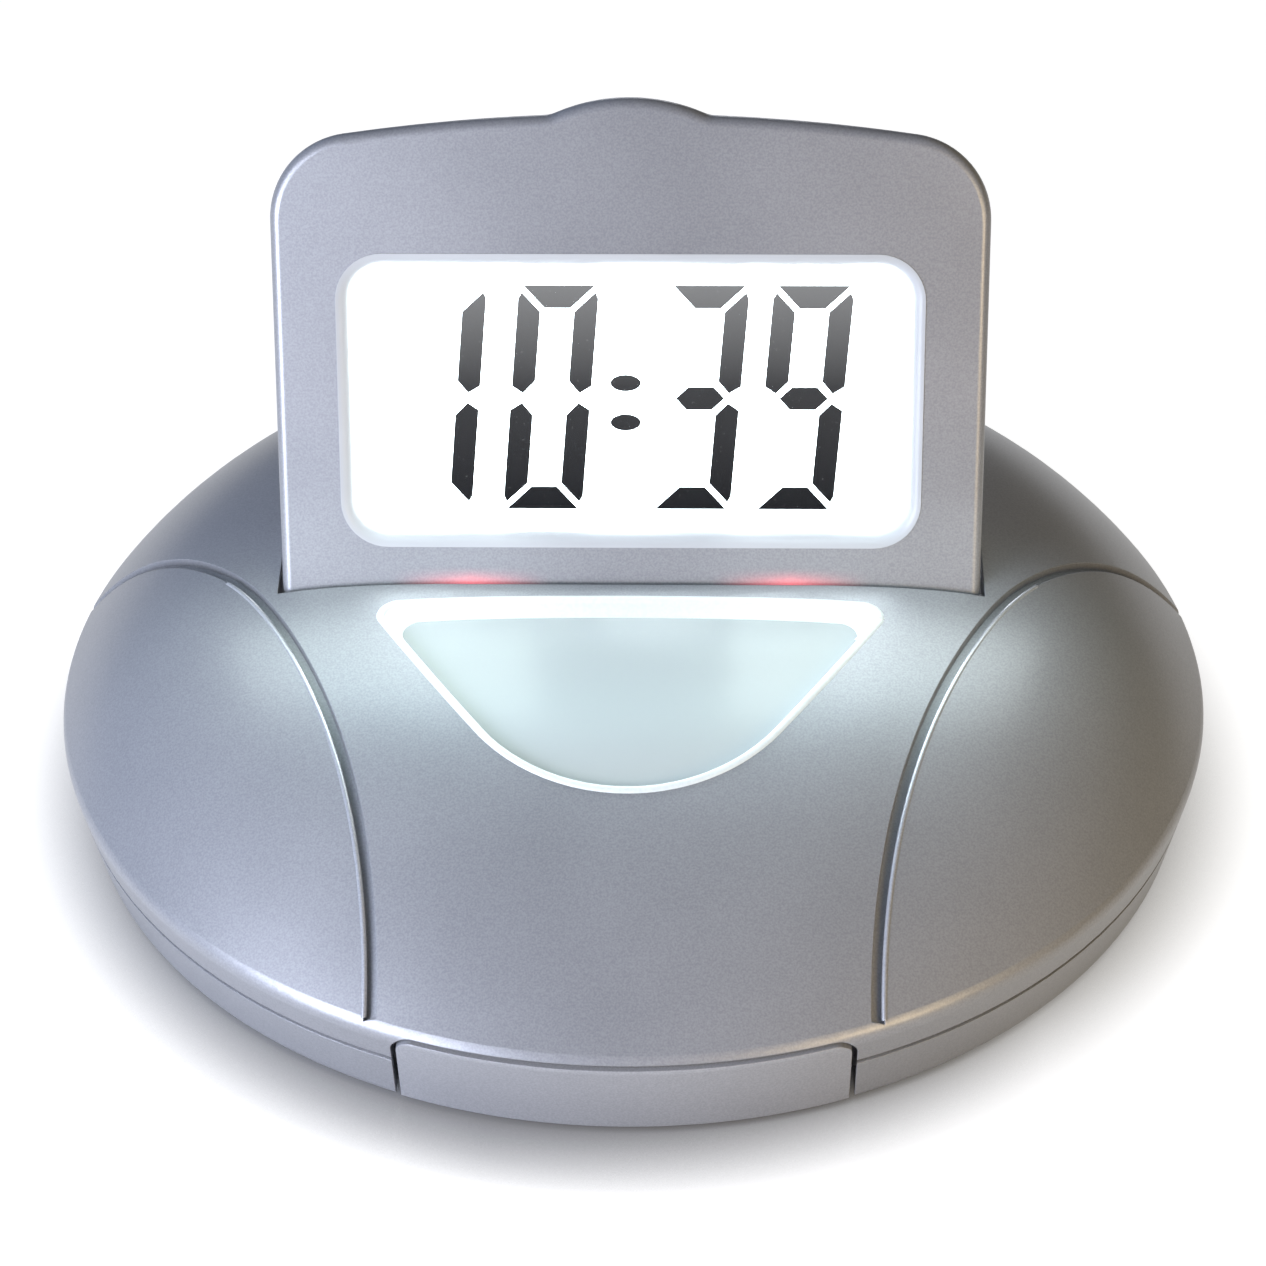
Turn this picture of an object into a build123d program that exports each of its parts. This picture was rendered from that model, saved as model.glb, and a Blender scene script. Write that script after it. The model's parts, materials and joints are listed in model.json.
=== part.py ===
# Bedside vibrating alarm clock: a low oval base with a flip-up lit display.
# Millimetres. X runs across the front, the front faces -Y, Z is up, and the
# origin is the middle of the oval on the surface that the feet stand on.

import os
from math import atan, cos, radians, sin, tan

from build123d import *

os.makedirs("parts", exist_ok=True)

# Base: oval plan, flared side wall, domed roof
half_width = 57.0
half_depth = 52.0
foot_proud = 0.8
shoulder_z = 11.2
flare = 1.9
dome_rise = 15.3
side_power = 5.5
rear_power = 6.0
cap_reach = 5.0
dome_steps = 8
parting_z = 7.0
wall = 2.0
roof_thickness = 1.8
floor_thickness = 2.0
shoulder_radius = 1.6
bottom_radius = 1.2
seam_chamfer = 0.6

# Display housing and its hinge
hinge_y = -0.4
hinge_z = 20.5
display_tilt = 23.0
folded_slope = 7.0
display_half_width = 33.9
display_height = 50.1
display_thickness = 8.4
display_arch = 3.1
display_draft = 14.0
display_corner = 8.3
display_shell = 1.6
display_edge = 0.9
bump_half_width = 7.4
bump_height = 1.5
bump_blend = 3.0
slot_gap = 0.6
slot_side_gap = 0.4
pan_wall = 1.6
pin_radius = 2.0
pin_bore = 1.3
pin_hold = 6.7
pin_reach = 3.0
pin_play = 0.02
ear_radius = 3.6
running_clearance = 0.05

# Window and the layers behind it: margins from the housing and from the window
bezel_foot = 9.2
bezel_top = 14.7
bezel_side = 7.3
window_corner = 3.2
window_chamfer = 1.2
lens_margin = 1.0
lens_thickness = 1.0
digit_gap = 0.15
digit_thickness = 0.1
lcd_side_margin = 1.1
lcd_foot_margin = 2.9
lcd_top_margin = 2.6
lcd_thickness = 1.85
guide_side_inset = 0.5
guide_foot_margin = 0.3
guide_top_margin = 1.8
guide_thickness = 1.5
display_board_side_margin = 0.9
display_board_foot_margin = 5.5
display_board_top_margin = 3.2
display_board_thickness = 0.6
strip_width = 1.5
strip_inset = 1.9
backlight_size = (1.2, 3.0, 1.2)
backlight_pitch = 8.0
display_socket_drop = 3.5
display_socket_size = (4.0, 2.0, 1.5)

# Numerals on the display
digit_height = 22.1
digit_width = 7.65
digit_rise = -0.25
shown_digits = (("1", -18.4), ("0", -7.7), ("3", 6.65), ("9", 16.6))
stroke = 2.2
stroke_gap = 0.4
stroke_rounding = 0.3
tip_gap = 0.5
tip_outer = 0.7
tip_inner = 1.2
slant = 4.7
colon_x = -0.5
colon_rise = -0.7
colon_spacing = 3.9
colon_radii = (1.45, 0.8)

# Trim on the roof
wing_arc_centre = (97.5, -46.2)
wing_arc_radius = 74.5
wing_start_angle = 180.4
wing_sweep = -33.2
wing_end_overrun = 0.5
wing_end_y = 10.5
groove_width = 1.2
groove_depth = 0.9
pocket_top = -5.2
pocket_half_width = 26.0
pocket_flank = (14.0, -20.6)
pocket_foot = -27.5
pocket_depth = 0.9
pocket_wall = 0.8
pocket_rear_wall = 2.4
pocket_corner = 1.5
pocket_over = 1.0
pocket_under = 1.8

# Snooze bar
bar_half_width = 20.7
bar_bottom = 1.2
bar_top = 10.6
bar_thickness = 2.4
bar_gap = 0.5
bar_travel = 1.0
bar_corner = 1.6
bar_flange = 1.2
bar_flange_thickness = 1.0
bar_boss_radius = 2.0
snooze_press_z = 6.3
snooze_board_inset = 12.1
snooze_board_size = (20.0, 8.0)
snooze_post = 4.0
snooze_post_x = 8.0
snooze_post_height = 5.0

# Keys, slide switch and control board under the display well
key_inset = 8.0
key_row = 13.0
key_radius = 3.6
key_proud = 0.3
key_flange = 1.0
key_flange_thickness = 0.8
key_gap = 0.3
key_travel = 0.5
press_margin = 0.2
slider_row = 24.0
slider_travel = 3.0
slider_knob = (7.0, 4.6)
slider_stem = (4.0, 2.6)
slider_recess = 0.8
slider_plate = (7.0, 5.0, 0.6)
slider_nib = 1.5
slider_nib_depth = 0.8
mode_switch_size = (12.0, 5.0, 3.2)
switch_body = 6.0
switch_height = 3.1
plunger_radius = 1.6
plunger_height = 0.5
board_low = 6.0
board_high = 31.0
board_side_gap = 5.3
board_thickness = 1.2
board_post_radius = 2.2
board_screw_radius = 0.8
board_screw_head = 1.6
board_screw_head_height = 0.9
board_screw_bite = 3.6
board_post_inset = 2.5
board_post_rows = (8.5, 26.0)
chip_place = (-17.0, 23.0)
chip_size = (9.0, 7.0, 1.4)
socket_row = 17.3
socket_size = (5.0, 4.0, 3.0)

# Battery bay and door
cell_radius = 5.25
cell_length = 43.7
cell_nub = (1.9, 0.8)
cell_count = 2
cell_gap = 0.7
cell_clearance = 0.3
contact_space = 1.6
bay_back = 15.7
bay_wall = 1.2
door_thickness = 1.4
door_gap = 0.3
door_pin_radius = 0.5
door_pin_length = 1.0
door_pin_play = 0.15
door_notch = (14.0, 4.0)
contact_thickness = 0.4
contact_width = 7.0
contact_taper = 40.0

# Vibration motor in the left wing
motor_side_gap = 0.6
motor_column_gap = 0.8
motor_radius = 4.4
motor_length = 20.0
motor_lift = 0.3
motor_sleeve = 0.7
sleeve_length = 9.0
motor_boss = (2.2, 1.0)
shaft_back = 2.0
saddle_wall = 0.8
clip_thickness = 0.8
clip_width = 6.0
clip_leg = 4.0
shaft_radius = 1.0
shaft_reach = 10.0
weight_radius = 5.0
weight_hub = 2.0
weight_length = 7.0
weight_gap = 1.6

# Buzzer in the right wing
buzzer_inset = 15.5
buzzer_y = -4.0
buzzer_radius = 10.5
buzzer_height = 5.5
buzzer_ring = 1.2
sound_hole_radius = 0.9
sound_ring_radius = 5.0
sound_hole_count = 6

# Feet, screws, lamps, leads
front_foot_inset = (17.0, 31.0)
rear_foot_inset = (20.0, 23.0)
foot_radius = 4.0
foot_sink = 0.8
front_screw_inset = (26.0, 19.0)
rear_screw_inset = (14.5, 30.0)
screw_radius = 1.25
screw_head_radius = 2.5
screw_head_height = 1.8
screw_grip = 3.0
screw_bite = 5.5
column_radius = 3.2
screw_clearance = 0.1
cross_span = 1.4
cross_width = 0.35
small_screw_radius = 0.8
small_screw_head = 1.5
small_screw_head_height = 0.8
small_screw_seat = 1.2
display_screw_inset = 3.7
display_screw_foot = 6.0
display_screw_top = 6.5
display_boss_radius = 1.9
lamp_x = 15.5
lamp_radius = 1.2
lamp_length = 4.0
lamp_drop = 3.8
cable_radius = 0.9
cable_bend = 2.6
cable_split = 1.4
cable_turn_inset = 9.7
cable_lift = 1.1
cable_side_gap = 2.4
cable_knee = (6.0, 11.5)
piece_clearance = 0.3
touch = 0.01

# Derived places
shell_bottom = foot_proud
floor_top = shell_bottom + floor_thickness
barrel_radius = display_thickness / 2
slot_reach = barrel_radius + slot_gap
tilt = radians(display_tilt)
fold = radians(folded_slope)
well_half_width = display_half_width + slot_side_gap
sky = 2 * half_width
front_of = (0, -cos(tilt), sin(tilt))
up_of = (0, sin(tilt), cos(tilt))
draft = radians(display_draft)
draft_of = (0, cos(tilt + draft), -sin(tilt + draft))
hinge_point = (0, hinge_y, hinge_z)
display_plane = Plane(origin=hinge_point, x_dir=(1, 0, 0), z_dir=front_of)
side_plane = Plane(origin=hinge_point, x_dir=up_of, z_dir=(1, 0, 0))
well_plane = Plane(
    origin=(0, hinge_y - slot_reach * sin(fold), hinge_z - slot_reach * cos(fold)),
    x_dir=(1, 0, 0),
    z_dir=(0, sin(fold), cos(fold)),
)
hinge_plane = Plane(origin=hinge_point, x_dir=(0, 1, 0), z_dir=(1, 0, 0))
inner_front = barrel_radius - display_shell
window_half_width = display_half_width - bezel_side
window_high = display_height - bezel_top
window_middle = (bezel_foot + window_high) / 2
window_size = (2 * window_half_width, window_high - bezel_foot)
lcd_low = bezel_foot - lcd_foot_margin
lcd_high = window_high + lcd_top_margin
guide_half_width = window_half_width - guide_side_inset
guide_low = bezel_foot - guide_foot_margin
guide_high = window_high + guide_top_margin
display_board_low = bezel_foot - display_board_foot_margin
display_board_high = window_high + display_board_top_margin
display_socket_v = bezel_foot - display_socket_drop
display_screw_places = [
    (side * (display_half_width - display_screw_inset), v)
    for side in (-1, 1)
    for v in (display_screw_foot, display_height - display_screw_top)
]
lens_back = inner_front - lens_thickness
lcd_front = lens_back - digit_gap
lcd_back = lcd_front - lcd_thickness
display_board_front = display_board_thickness - inner_front
ear_end = well_half_width + pin_reach + piece_clearance
bay_y = hinge_y - bay_back
cell_z = shell_bottom + door_thickness + cell_clearance + cell_radius
cell_pitch = 2 * cell_radius + cell_gap
cell_rows = [bay_y + (row - (cell_count - 1) / 2) * cell_pitch for row in range(cell_count)]
bay_length = cell_length + cell_nub[1] + 2 * contact_space
bay_depth = cell_count * cell_pitch - cell_gap + 2 * cell_clearance
bay_roof_z = cell_z + cell_radius + cell_clearance
door_axis_y = bay_y - bay_depth / 2 + door_gap + door_thickness / 2
door_axis_z = shell_bottom + door_thickness / 2
screw_seat_z = parting_z - screw_grip
screw_places = [
    (side * (half_width - inset[0]), end * (half_depth - inset[1]))
    for side in (-1, 1)
    for end, inset in ((-1, front_screw_inset), (1, rear_screw_inset))
]
foot_places = [
    (side * (half_width - inset[0]), end * (half_depth - inset[1]))
    for side in (-1, 1)
    for end, inset in ((-1, front_foot_inset), (1, rear_foot_inset))
]
motor_x = -(well_half_width + pan_wall + weight_radius + motor_side_gap)
shaft_end_y = half_depth - rear_screw_inset[1] - column_radius - motor_column_gap
motor_y = shaft_end_y - shaft_reach - motor_length / 2
saddle_half_width = motor_radius + motor_sleeve + running_clearance + saddle_wall
buzzer_x = half_width - buzzer_inset
motor_z = floor_top + motor_lift + motor_sleeve + motor_radius
motor_plane = Plane(origin=(motor_x, motor_y, motor_z), x_dir=(1, 0, 0), z_dir=(0, 1, 0))
key_flange_top = pan_wall + key_gap
key_bottom = key_flange_top + key_flange_thickness
switch_top = key_bottom + key_travel + press_margin + plunger_height
board_drop = switch_top + switch_height
board_half_width = well_half_width - board_side_gap
key_side = board_half_width - key_inset
key_x = (-key_side, -key_side / 3, key_side / 3, key_side)
board_posts = [
    (side * (board_half_width - board_post_inset), row) for side in (-1, 1) for row in board_post_rows
]
socket_place = (board_half_width - board_post_inset, socket_row)
cable_turn_x = display_half_width - cable_turn_inset
cable_side_x = ear_end + cable_side_gap
snooze_board_y = snooze_board_inset - half_depth
snooze_face_y = snooze_board_y - board_thickness / 2
bar_tip = switch_height + plunger_height + bar_travel + piece_clearance - snooze_face_y
mode_switch_top = board_drop - mode_switch_size[2]
clip_half_width = saddle_half_width + running_clearance + clip_thickness
door_rear_y = bay_y + bay_depth / 2 - door_gap
lamp_z = shoulder_z + dome_rise - lamp_drop
lamp_rise = lamp_z - lamp_radius - hinge_z - slot_reach * sin(tilt)
lamp_plane = Plane(
    origin=(0, hinge_y - slot_reach * cos(tilt) + lamp_rise * tan(tilt), lamp_z),
    x_dir=(1, 0, 0),
    z_dir=(0, -1, 0),
)


def body_form(inset, drop, bottom):
    """Oval body: a flared wall up to the shoulder, then a dome that is steep at its sides and rear."""
    cap_share = cap_reach / half_depth
    slope = flare / (shoulder_z - shell_bottom)
    with BuildPart() as form:
        for height in (bottom, shoulder_z - drop):
            shrink = inset + slope * (shoulder_z - height)
            with BuildSketch(Plane.XY.offset(height)):
                with BuildLine():
                    for start in (0, 180):
                        EllipticalCenterArc(
                            (0, 0), half_width - shrink, half_depth - shrink,
                            start_angle=start, arc_size=180,
                        )
                make_face()
        loft(ruled=True)
        shrink = inset + slope * drop
        for step in range(dome_steps + 1):
            share = 1 - (1 - cap_share) * step / dome_steps
            side = half_width * share ** (2 / side_power) - shrink
            rear = half_depth * share ** (2 / rear_power) - shrink
            front = half_depth * share - shrink * share**0.5
            with BuildSketch(Plane.XY.offset(shoulder_z - drop + dome_rise * (1 - share**2))):
                with BuildLine():
                    EllipticalCenterArc((0, 0), side, rear, start_angle=0, arc_size=180)
                    EllipticalCenterArc((0, 0), side, front, start_angle=180, arc_size=180)
                make_face()
        loft()
    return form.part


def well_form(extra, reach_x):
    """Space that the display turns in, from the slot at the front to the open rear."""
    reach = slot_reach + extra
    lip = Vector(hinge_y - reach * cos(tilt), hinge_z + reach * sin(tilt))
    low = Vector(hinge_y - reach * sin(fold), hinge_z - reach * cos(fold))
    lip_top = lip + Vector(sin(tilt), cos(tilt)) * sky
    low_rear = low + Vector(cos(fold), -sin(fold)) * sky
    with BuildPart() as form:
        with BuildSketch(Plane.YZ):
            with BuildLine():
                Polyline(lip, lip_top, (low_rear.X, lip_top.Y), low_rear, low, close=True)
            make_face()
            with Locations((hinge_y, hinge_z)):
                Circle(reach)
        extrude(amount=reach_x, both=True)
    return form.part


def display_form(inset, with_bump):
    """Display slab with a full-round foot about the hinge axis and an arched top that falls to the rear."""
    radius = barrel_radius - inset
    half = display_half_width - inset
    top = display_height - inset
    reach = top + bump_height
    with BuildPart() as form:
        with BuildSketch(side_plane):
            with BuildLine():
                Polyline((0, -radius), (reach, -radius), (reach, radius), (0, radius))
                ThreePointArc((0, radius), (-radius, 0), (0, -radius))
            make_face()
        extrude(amount=half, both=True)
        with BuildSketch(display_plane.offset(barrel_radius)) as front:
            with BuildLine():
                spring = top - display_arch
                Polyline((-half, spring), (-half, -sky), (half, -sky), (half, spring))
                ThreePointArc((half, spring), (0, top), (-half, spring))
            make_face()
            fillet(front.vertices().group_by(Axis.Y)[-1], display_corner - inset)
            if with_bump:
                foot = top - display_arch * (bump_half_width / half) ** 2 - touch
                with BuildLine():
                    ThreePointArc((-bump_half_width, foot), (0, top + bump_height), (bump_half_width, foot))
                    Polyline(
                        (bump_half_width, foot),
                        (bump_half_width, foot - display_shell),
                        (-bump_half_width, foot - display_shell),
                        (-bump_half_width, foot),
                    )
                make_face()
                corners = front.vertices().filter_by_position(Axis.Y, foot - touch, top + bump_height)
                fillet(corners.filter_by_position(Axis.X, -bump_half_width, bump_half_width), bump_blend)
        extrude(amount=display_thickness / cos(draft), dir=draft_of, mode=Mode.INTERSECT)
    return form.part


def roof_height(y):
    """Height of the roof on the middle line, in front of the display."""
    return shoulder_z + dome_rise * (1 - (y / half_depth) ** 2)


def pocket_v(y):
    """Distance down the pocket plane of a place at this depth."""
    return (pocket_top - y) / cos(pocket_fall)


def screw_group(planes, radius, length, head_radius, head_height):
    """Cross-head screws: each plane lies under a head, with its normal towards the tip."""
    with BuildPart() as group:
        for plane in planes:
            with BuildSketch(plane):
                Circle(radius)
            extrude(amount=length)
            with BuildSketch(plane.offset(-head_height)):
                Circle(head_radius)
            extrude(amount=head_height)
            with BuildSketch(plane.offset(-head_height)):
                Rectangle(cross_span * head_radius, cross_width * head_radius)
                Rectangle(cross_width * head_radius, cross_span * head_radius)
            extrude(amount=head_height / 2, mode=Mode.SUBTRACT)
    return group.part


pocket_fall = atan((roof_height(pocket_top) - roof_height(pocket_foot)) / (pocket_top - pocket_foot))
pocket_plane = Plane(
    origin=(0, pocket_top, roof_height(pocket_top)),
    x_dir=(1, 0, 0),
    z_dir=(0, sin(pocket_fall), -cos(pocket_fall)),
)

# Oval body that both shells are cut from
with BuildPart() as body_block:
    add(body_form(0, 0, shell_bottom))
    shoulder_edges = body_block.edges().filter_by_position(Axis.Z, shoulder_z - touch, shoulder_z + touch)
    fillet(shoulder_edges, shoulder_radius)

# Front window that the snooze bar fills, as deep as the bar and its travel
with BuildPart() as bar_window:
    with BuildSketch(Plane.XZ) as mouth:
        with Locations((0, (bar_top + bar_gap) / 2)):
            Rectangle(2 * (bar_half_width + bar_gap), bar_top + bar_gap)
        fillet(mouth.vertices().group_by(Axis.Y)[-1], bar_corner + bar_gap)
    extrude(amount=sky)
    add(body_form(bar_thickness + bar_travel + bar_gap, 0, 0), mode=Mode.SUBTRACT)

# Lower shell: floor, battery bay, screw columns, motor saddle, buzzer ring, board posts
with BuildPart() as base_shell:
    add(body_block.part)
    split(bisect_by=Plane.XY.offset(parting_z), keep=Keep.BOTTOM)
    fillet(base_shell.edges().group_by(Axis.Z)[0], bottom_radius)
    add(body_form(wall, roof_thickness, floor_top), mode=Mode.SUBTRACT)
    with BuildSketch(Plane.XY.offset(shell_bottom)):
        with Locations((0, bay_y)):
            Rectangle(bay_length + 2 * bay_wall, bay_depth + 2 * bay_wall)
    extrude(amount=bay_roof_z + bay_wall - shell_bottom)
    with BuildSketch(Plane.XY.offset(shell_bottom)):
        with Locations((0, bay_y)):
            Rectangle(bay_length, bay_depth)
    extrude(amount=bay_roof_z - shell_bottom, mode=Mode.SUBTRACT)
    with BuildSketch(Plane.YZ):
        with Locations((door_axis_y, door_axis_z)):
            Circle(door_pin_radius + running_clearance)
    extrude(amount=bay_length / 2 + door_pin_length, both=True, mode=Mode.SUBTRACT)
    with BuildSketch(Plane.XY.offset(floor_top)):
        with Locations(*screw_places):
            Circle(column_radius)
    extrude(amount=parting_z - floor_top)
    with BuildSketch(Plane.XY.offset(shell_bottom)):
        with Locations(*screw_places):
            Circle(screw_head_radius + screw_clearance)
    extrude(amount=screw_seat_z - shell_bottom, mode=Mode.SUBTRACT)
    with BuildSketch(Plane.XY.offset(screw_seat_z)):
        with Locations(*screw_places):
            Circle(screw_radius + screw_clearance)
    extrude(amount=screw_grip, mode=Mode.SUBTRACT)
    with BuildSketch(Plane.XY.offset(floor_top)):
        with Locations((motor_x, motor_y)):
            Rectangle(2 * saddle_half_width, sleeve_length)
    extrude(amount=motor_z - floor_top)
    with BuildSketch(motor_plane):
        Circle(motor_radius + motor_sleeve + running_clearance)
    extrude(amount=sleeve_length, both=True, mode=Mode.SUBTRACT)
    with BuildSketch(Plane.XY.offset(floor_top)):
        with Locations((buzzer_x, buzzer_y)):
            Circle(buzzer_radius + running_clearance + buzzer_ring)
            Circle(buzzer_radius + running_clearance, mode=Mode.SUBTRACT)
    extrude(amount=buzzer_height / 2)
    with BuildSketch(Plane.XY.offset(shell_bottom)):
        with Locations((buzzer_x, buzzer_y)):
            Circle(sound_hole_radius)
            with PolarLocations(sound_ring_radius, sound_hole_count):
                Circle(sound_hole_radius)
    extrude(amount=floor_thickness, mode=Mode.SUBTRACT)
    with BuildSketch(Plane.XY.offset(floor_top)):
        with Locations((-snooze_post_x, snooze_board_y), (snooze_post_x, snooze_board_y)):
            Rectangle(snooze_post, snooze_post)
        with Locations((0, snooze_board_y)):
            Rectangle(sky, board_thickness + 2 * running_clearance, mode=Mode.SUBTRACT)
    extrude(amount=snooze_post_height)
    with BuildSketch(Plane.XY.offset(shell_bottom)):
        with Locations(*foot_places):
            Circle(foot_radius + running_clearance)
    extrude(amount=foot_sink, mode=Mode.SUBTRACT)
    add(bar_window.part, mode=Mode.SUBTRACT)
base_shell.part.label = "base_shell"
export_step(base_shell.part, "parts/base_shell.step")

# Inside of the upper shell, without the display well, the hinge ears and the screw columns
with BuildPart() as roof_cavity:
    add(body_form(wall, roof_thickness, floor_top))
    add(well_form(pan_wall, well_half_width + pan_wall), mode=Mode.SUBTRACT)
    with BuildSketch(hinge_plane):
        Circle(ear_radius)
    extrude(amount=ear_end, both=True, mode=Mode.SUBTRACT)
    with BuildSketch(Plane.XY.offset(parting_z)):
        with Locations(*screw_places):
            Circle(column_radius)
    extrude(amount=sky, mode=Mode.SUBTRACT)

# Curved grooves that outline the two side wings
with BuildPart() as wing_grooves:
    with BuildSketch(Plane.XY.offset(parting_z)):
        with BuildLine():
            inner_edge = CenterArc(wing_arc_centre, wing_arc_radius, wing_start_angle, wing_sweep)
            TangentArc(inner_edge @ 1, (half_width + wing_end_overrun, wing_end_y), tangent=inner_edge % 1)
        trace(line_width=groove_width)
        mirror(about=Plane.YZ)
    extrude(amount=sky)
    add(body_block.part.moved(Location((0, 0, -groove_depth))), mode=Mode.SUBTRACT)

# Shield-shaped pocket in front of the display: steep flanks, a gentle rear slope
flank_out = Vector(pocket_v(pocket_flank[1]), pocket_half_width - pocket_flank[0]).normalized()
with BuildPart() as shield_pocket:
    for depth in (-pocket_over, pocket_under):
        inset = depth * pocket_wall / pocket_depth
        rear = depth * pocket_rear_wall / pocket_depth
        corner_x = pocket_half_width - (inset + rear * flank_out.Y) / flank_out.X
        flank_x = pocket_flank[0] - inset * flank_out.X
        flank_v = pocket_v(pocket_flank[1]) - inset * flank_out.Y
        with BuildSketch(pocket_plane.offset(depth)) as shield:
            with BuildLine():
                Polyline((-flank_x, flank_v), (-corner_x, rear), (corner_x, rear), (flank_x, flank_v))
                ThreePointArc((flank_x, flank_v), (0, pocket_v(pocket_foot) - inset), (-flank_x, flank_v))
            make_face()
            fillet(shield.vertices().group_by(Axis.Y)[0], pocket_corner)
    loft(ruled=True)
    add(body_block.part.moved(Location((0, 0, -pocket_depth))), mode=Mode.SUBTRACT)

# Upper shell: roof, display well, hinge ears, key holes and posts for the control board
with BuildPart() as top_shell:
    add(body_block.part)
    split(bisect_by=Plane.XY.offset(parting_z), keep=Keep.TOP)
    chamfer(top_shell.edges().group_by(Axis.Z)[0], seam_chamfer)
    add(roof_cavity.part, mode=Mode.SUBTRACT)
    add(well_form(0, well_half_width), mode=Mode.SUBTRACT)
    with BuildSketch(hinge_plane):
        Circle(pin_radius + running_clearance)
    extrude(amount=ear_end, both=True, mode=Mode.SUBTRACT)
    with BuildSketch(well_plane.offset(-pan_wall / 2)):
        with Locations(*board_posts):
            Circle(board_post_radius)
    extrude(amount=-(board_drop - pan_wall / 2))
    with BuildSketch(well_plane.offset(-board_drop)):
        with Locations(*board_posts):
            Circle(board_screw_radius + running_clearance)
    extrude(amount=board_screw_bite, mode=Mode.SUBTRACT)
    with BuildSketch(well_plane):
        with Locations(*[(x, key_row) for x in key_x]):
            Circle(key_radius + key_gap)
        with Locations((0, slider_row)):
            Rectangle(slider_stem[0] + 2 * (slider_travel + key_gap), slider_stem[1] + 2 * key_gap)
    extrude(amount=-2 * pan_wall, mode=Mode.SUBTRACT)
    with BuildSketch(well_plane):
        with Locations((0, slider_row)):
            Rectangle(slider_knob[0] + 2 * (slider_travel + key_gap), slider_knob[1] + 2 * key_gap)
    extrude(amount=-slider_recess, mode=Mode.SUBTRACT)
    with BuildSketch(Plane.XY.offset(parting_z)):
        with Locations(*screw_places):
            Circle(screw_radius + screw_clearance)
    extrude(amount=screw_bite + piece_clearance, mode=Mode.SUBTRACT)
    with BuildSketch(lamp_plane):
        with Locations((-lamp_x, 0), (lamp_x, 0)):
            Circle(lamp_radius + running_clearance)
    extrude(amount=lamp_length, both=True, mode=Mode.SUBTRACT)
    add(bar_window.part, mode=Mode.SUBTRACT)
    add(wing_grooves.part, mode=Mode.SUBTRACT)
    add(shield_pocket.part, mode=Mode.SUBTRACT)
top_shell.part.label = "top_shell"
export_step(top_shell.part, "parts/top_shell.step")

# Snooze bar: a curved plate with a flange behind the wall and a boss for its switch
with BuildPart() as snooze_flange:
    with BuildSketch(Plane.XZ):
        with Locations((0, (floor_top + shoulder_z - roof_thickness) / 2)):
            Rectangle(
                2 * (bar_half_width + bar_flange),
                shoulder_z - roof_thickness - floor_top - 2 * piece_clearance,
            )
    extrude(amount=sky)
    add(body_form(wall + piece_clearance, 0, 0), mode=Mode.INTERSECT)
    add(body_form(wall + piece_clearance + bar_flange_thickness, 0, -1), mode=Mode.SUBTRACT)
with BuildPart() as snooze_bar:
    with BuildSketch(Plane.XZ) as plate:
        with Locations((0, (bar_bottom + bar_top) / 2)):
            Rectangle(2 * bar_half_width, bar_top - bar_bottom)
        fillet(plate.vertices().group_by(Axis.Y)[-1], bar_corner)
    extrude(amount=sky)
    add(body_block.part, mode=Mode.INTERSECT)
    add(body_form(bar_thickness, 0, 0), mode=Mode.SUBTRACT)
    add(snooze_flange.part)
    with BuildSketch(Plane.XZ.offset(bar_tip)):
        with Locations((0, snooze_press_z)):
            Circle(bar_boss_radius)
    extrude(amount=half_depth - wall - bar_tip)
snooze_bar.part.label = "snooze_bar"
export_step(snooze_bar.part, "parts/snooze_bar.step")

with BuildPart() as snooze_board:
    with BuildSketch(Plane.XZ.offset(-snooze_board_y - board_thickness / 2)):
        with Locations((0, floor_top + snooze_board_size[1] / 2)):
            Rectangle(*snooze_board_size)
    extrude(amount=board_thickness)
snooze_board.part.label = "snooze_board"
export_step(snooze_board.part, "parts/snooze_board.step")

with BuildPart() as snooze_switch:
    with BuildSketch(Plane.XZ.offset(-snooze_face_y)):
        with Locations((0, snooze_press_z)):
            Rectangle(switch_body, switch_body)
    extrude(amount=switch_height)
    with BuildSketch(Plane.XZ.offset(-snooze_face_y + switch_height)):
        with Locations((0, snooze_press_z)):
            Circle(plunger_radius)
    extrude(amount=plunger_height)
snooze_switch.part.label = "snooze_switch"
export_step(snooze_switch.part, "parts/snooze_switch.step")


def key_form(x):
    """Round key: a cap through the well floor, held from below by its flange."""
    with BuildPart() as key:
        with BuildSketch(well_plane.offset(-key_bottom)):
            with Locations((x, key_row)):
                Circle(key_radius + key_flange)
        extrude(amount=key_flange_thickness)
        with BuildSketch(well_plane.offset(-key_flange_top)):
            with Locations((x, key_row)):
                Circle(key_radius)
        extrude(amount=key_flange_top + key_proud)
        fillet(key.edges().group_by(Axis(well_plane.origin, well_plane.z_dir))[-1], key_proud)
    return key.part


# Four set keys in the floor of the display well
with BuildPart() as time_button:
    add(key_form(key_x[0]))
time_button.part.label = "time_button"
export_step(time_button.part, "parts/time_button.step")

with BuildPart() as alarm_button:
    add(key_form(key_x[1]))
alarm_button.part.label = "alarm_button"
export_step(alarm_button.part, "parts/alarm_button.step")

with BuildPart() as hour_button:
    add(key_form(key_x[2]))
hour_button.part.label = "hour_button"
export_step(hour_button.part, "parts/hour_button.step")

with BuildPart() as minute_button:
    add(key_form(key_x[3]))
minute_button.part.label = "minute_button"
export_step(minute_button.part, "parts/minute_button.step")

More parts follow.
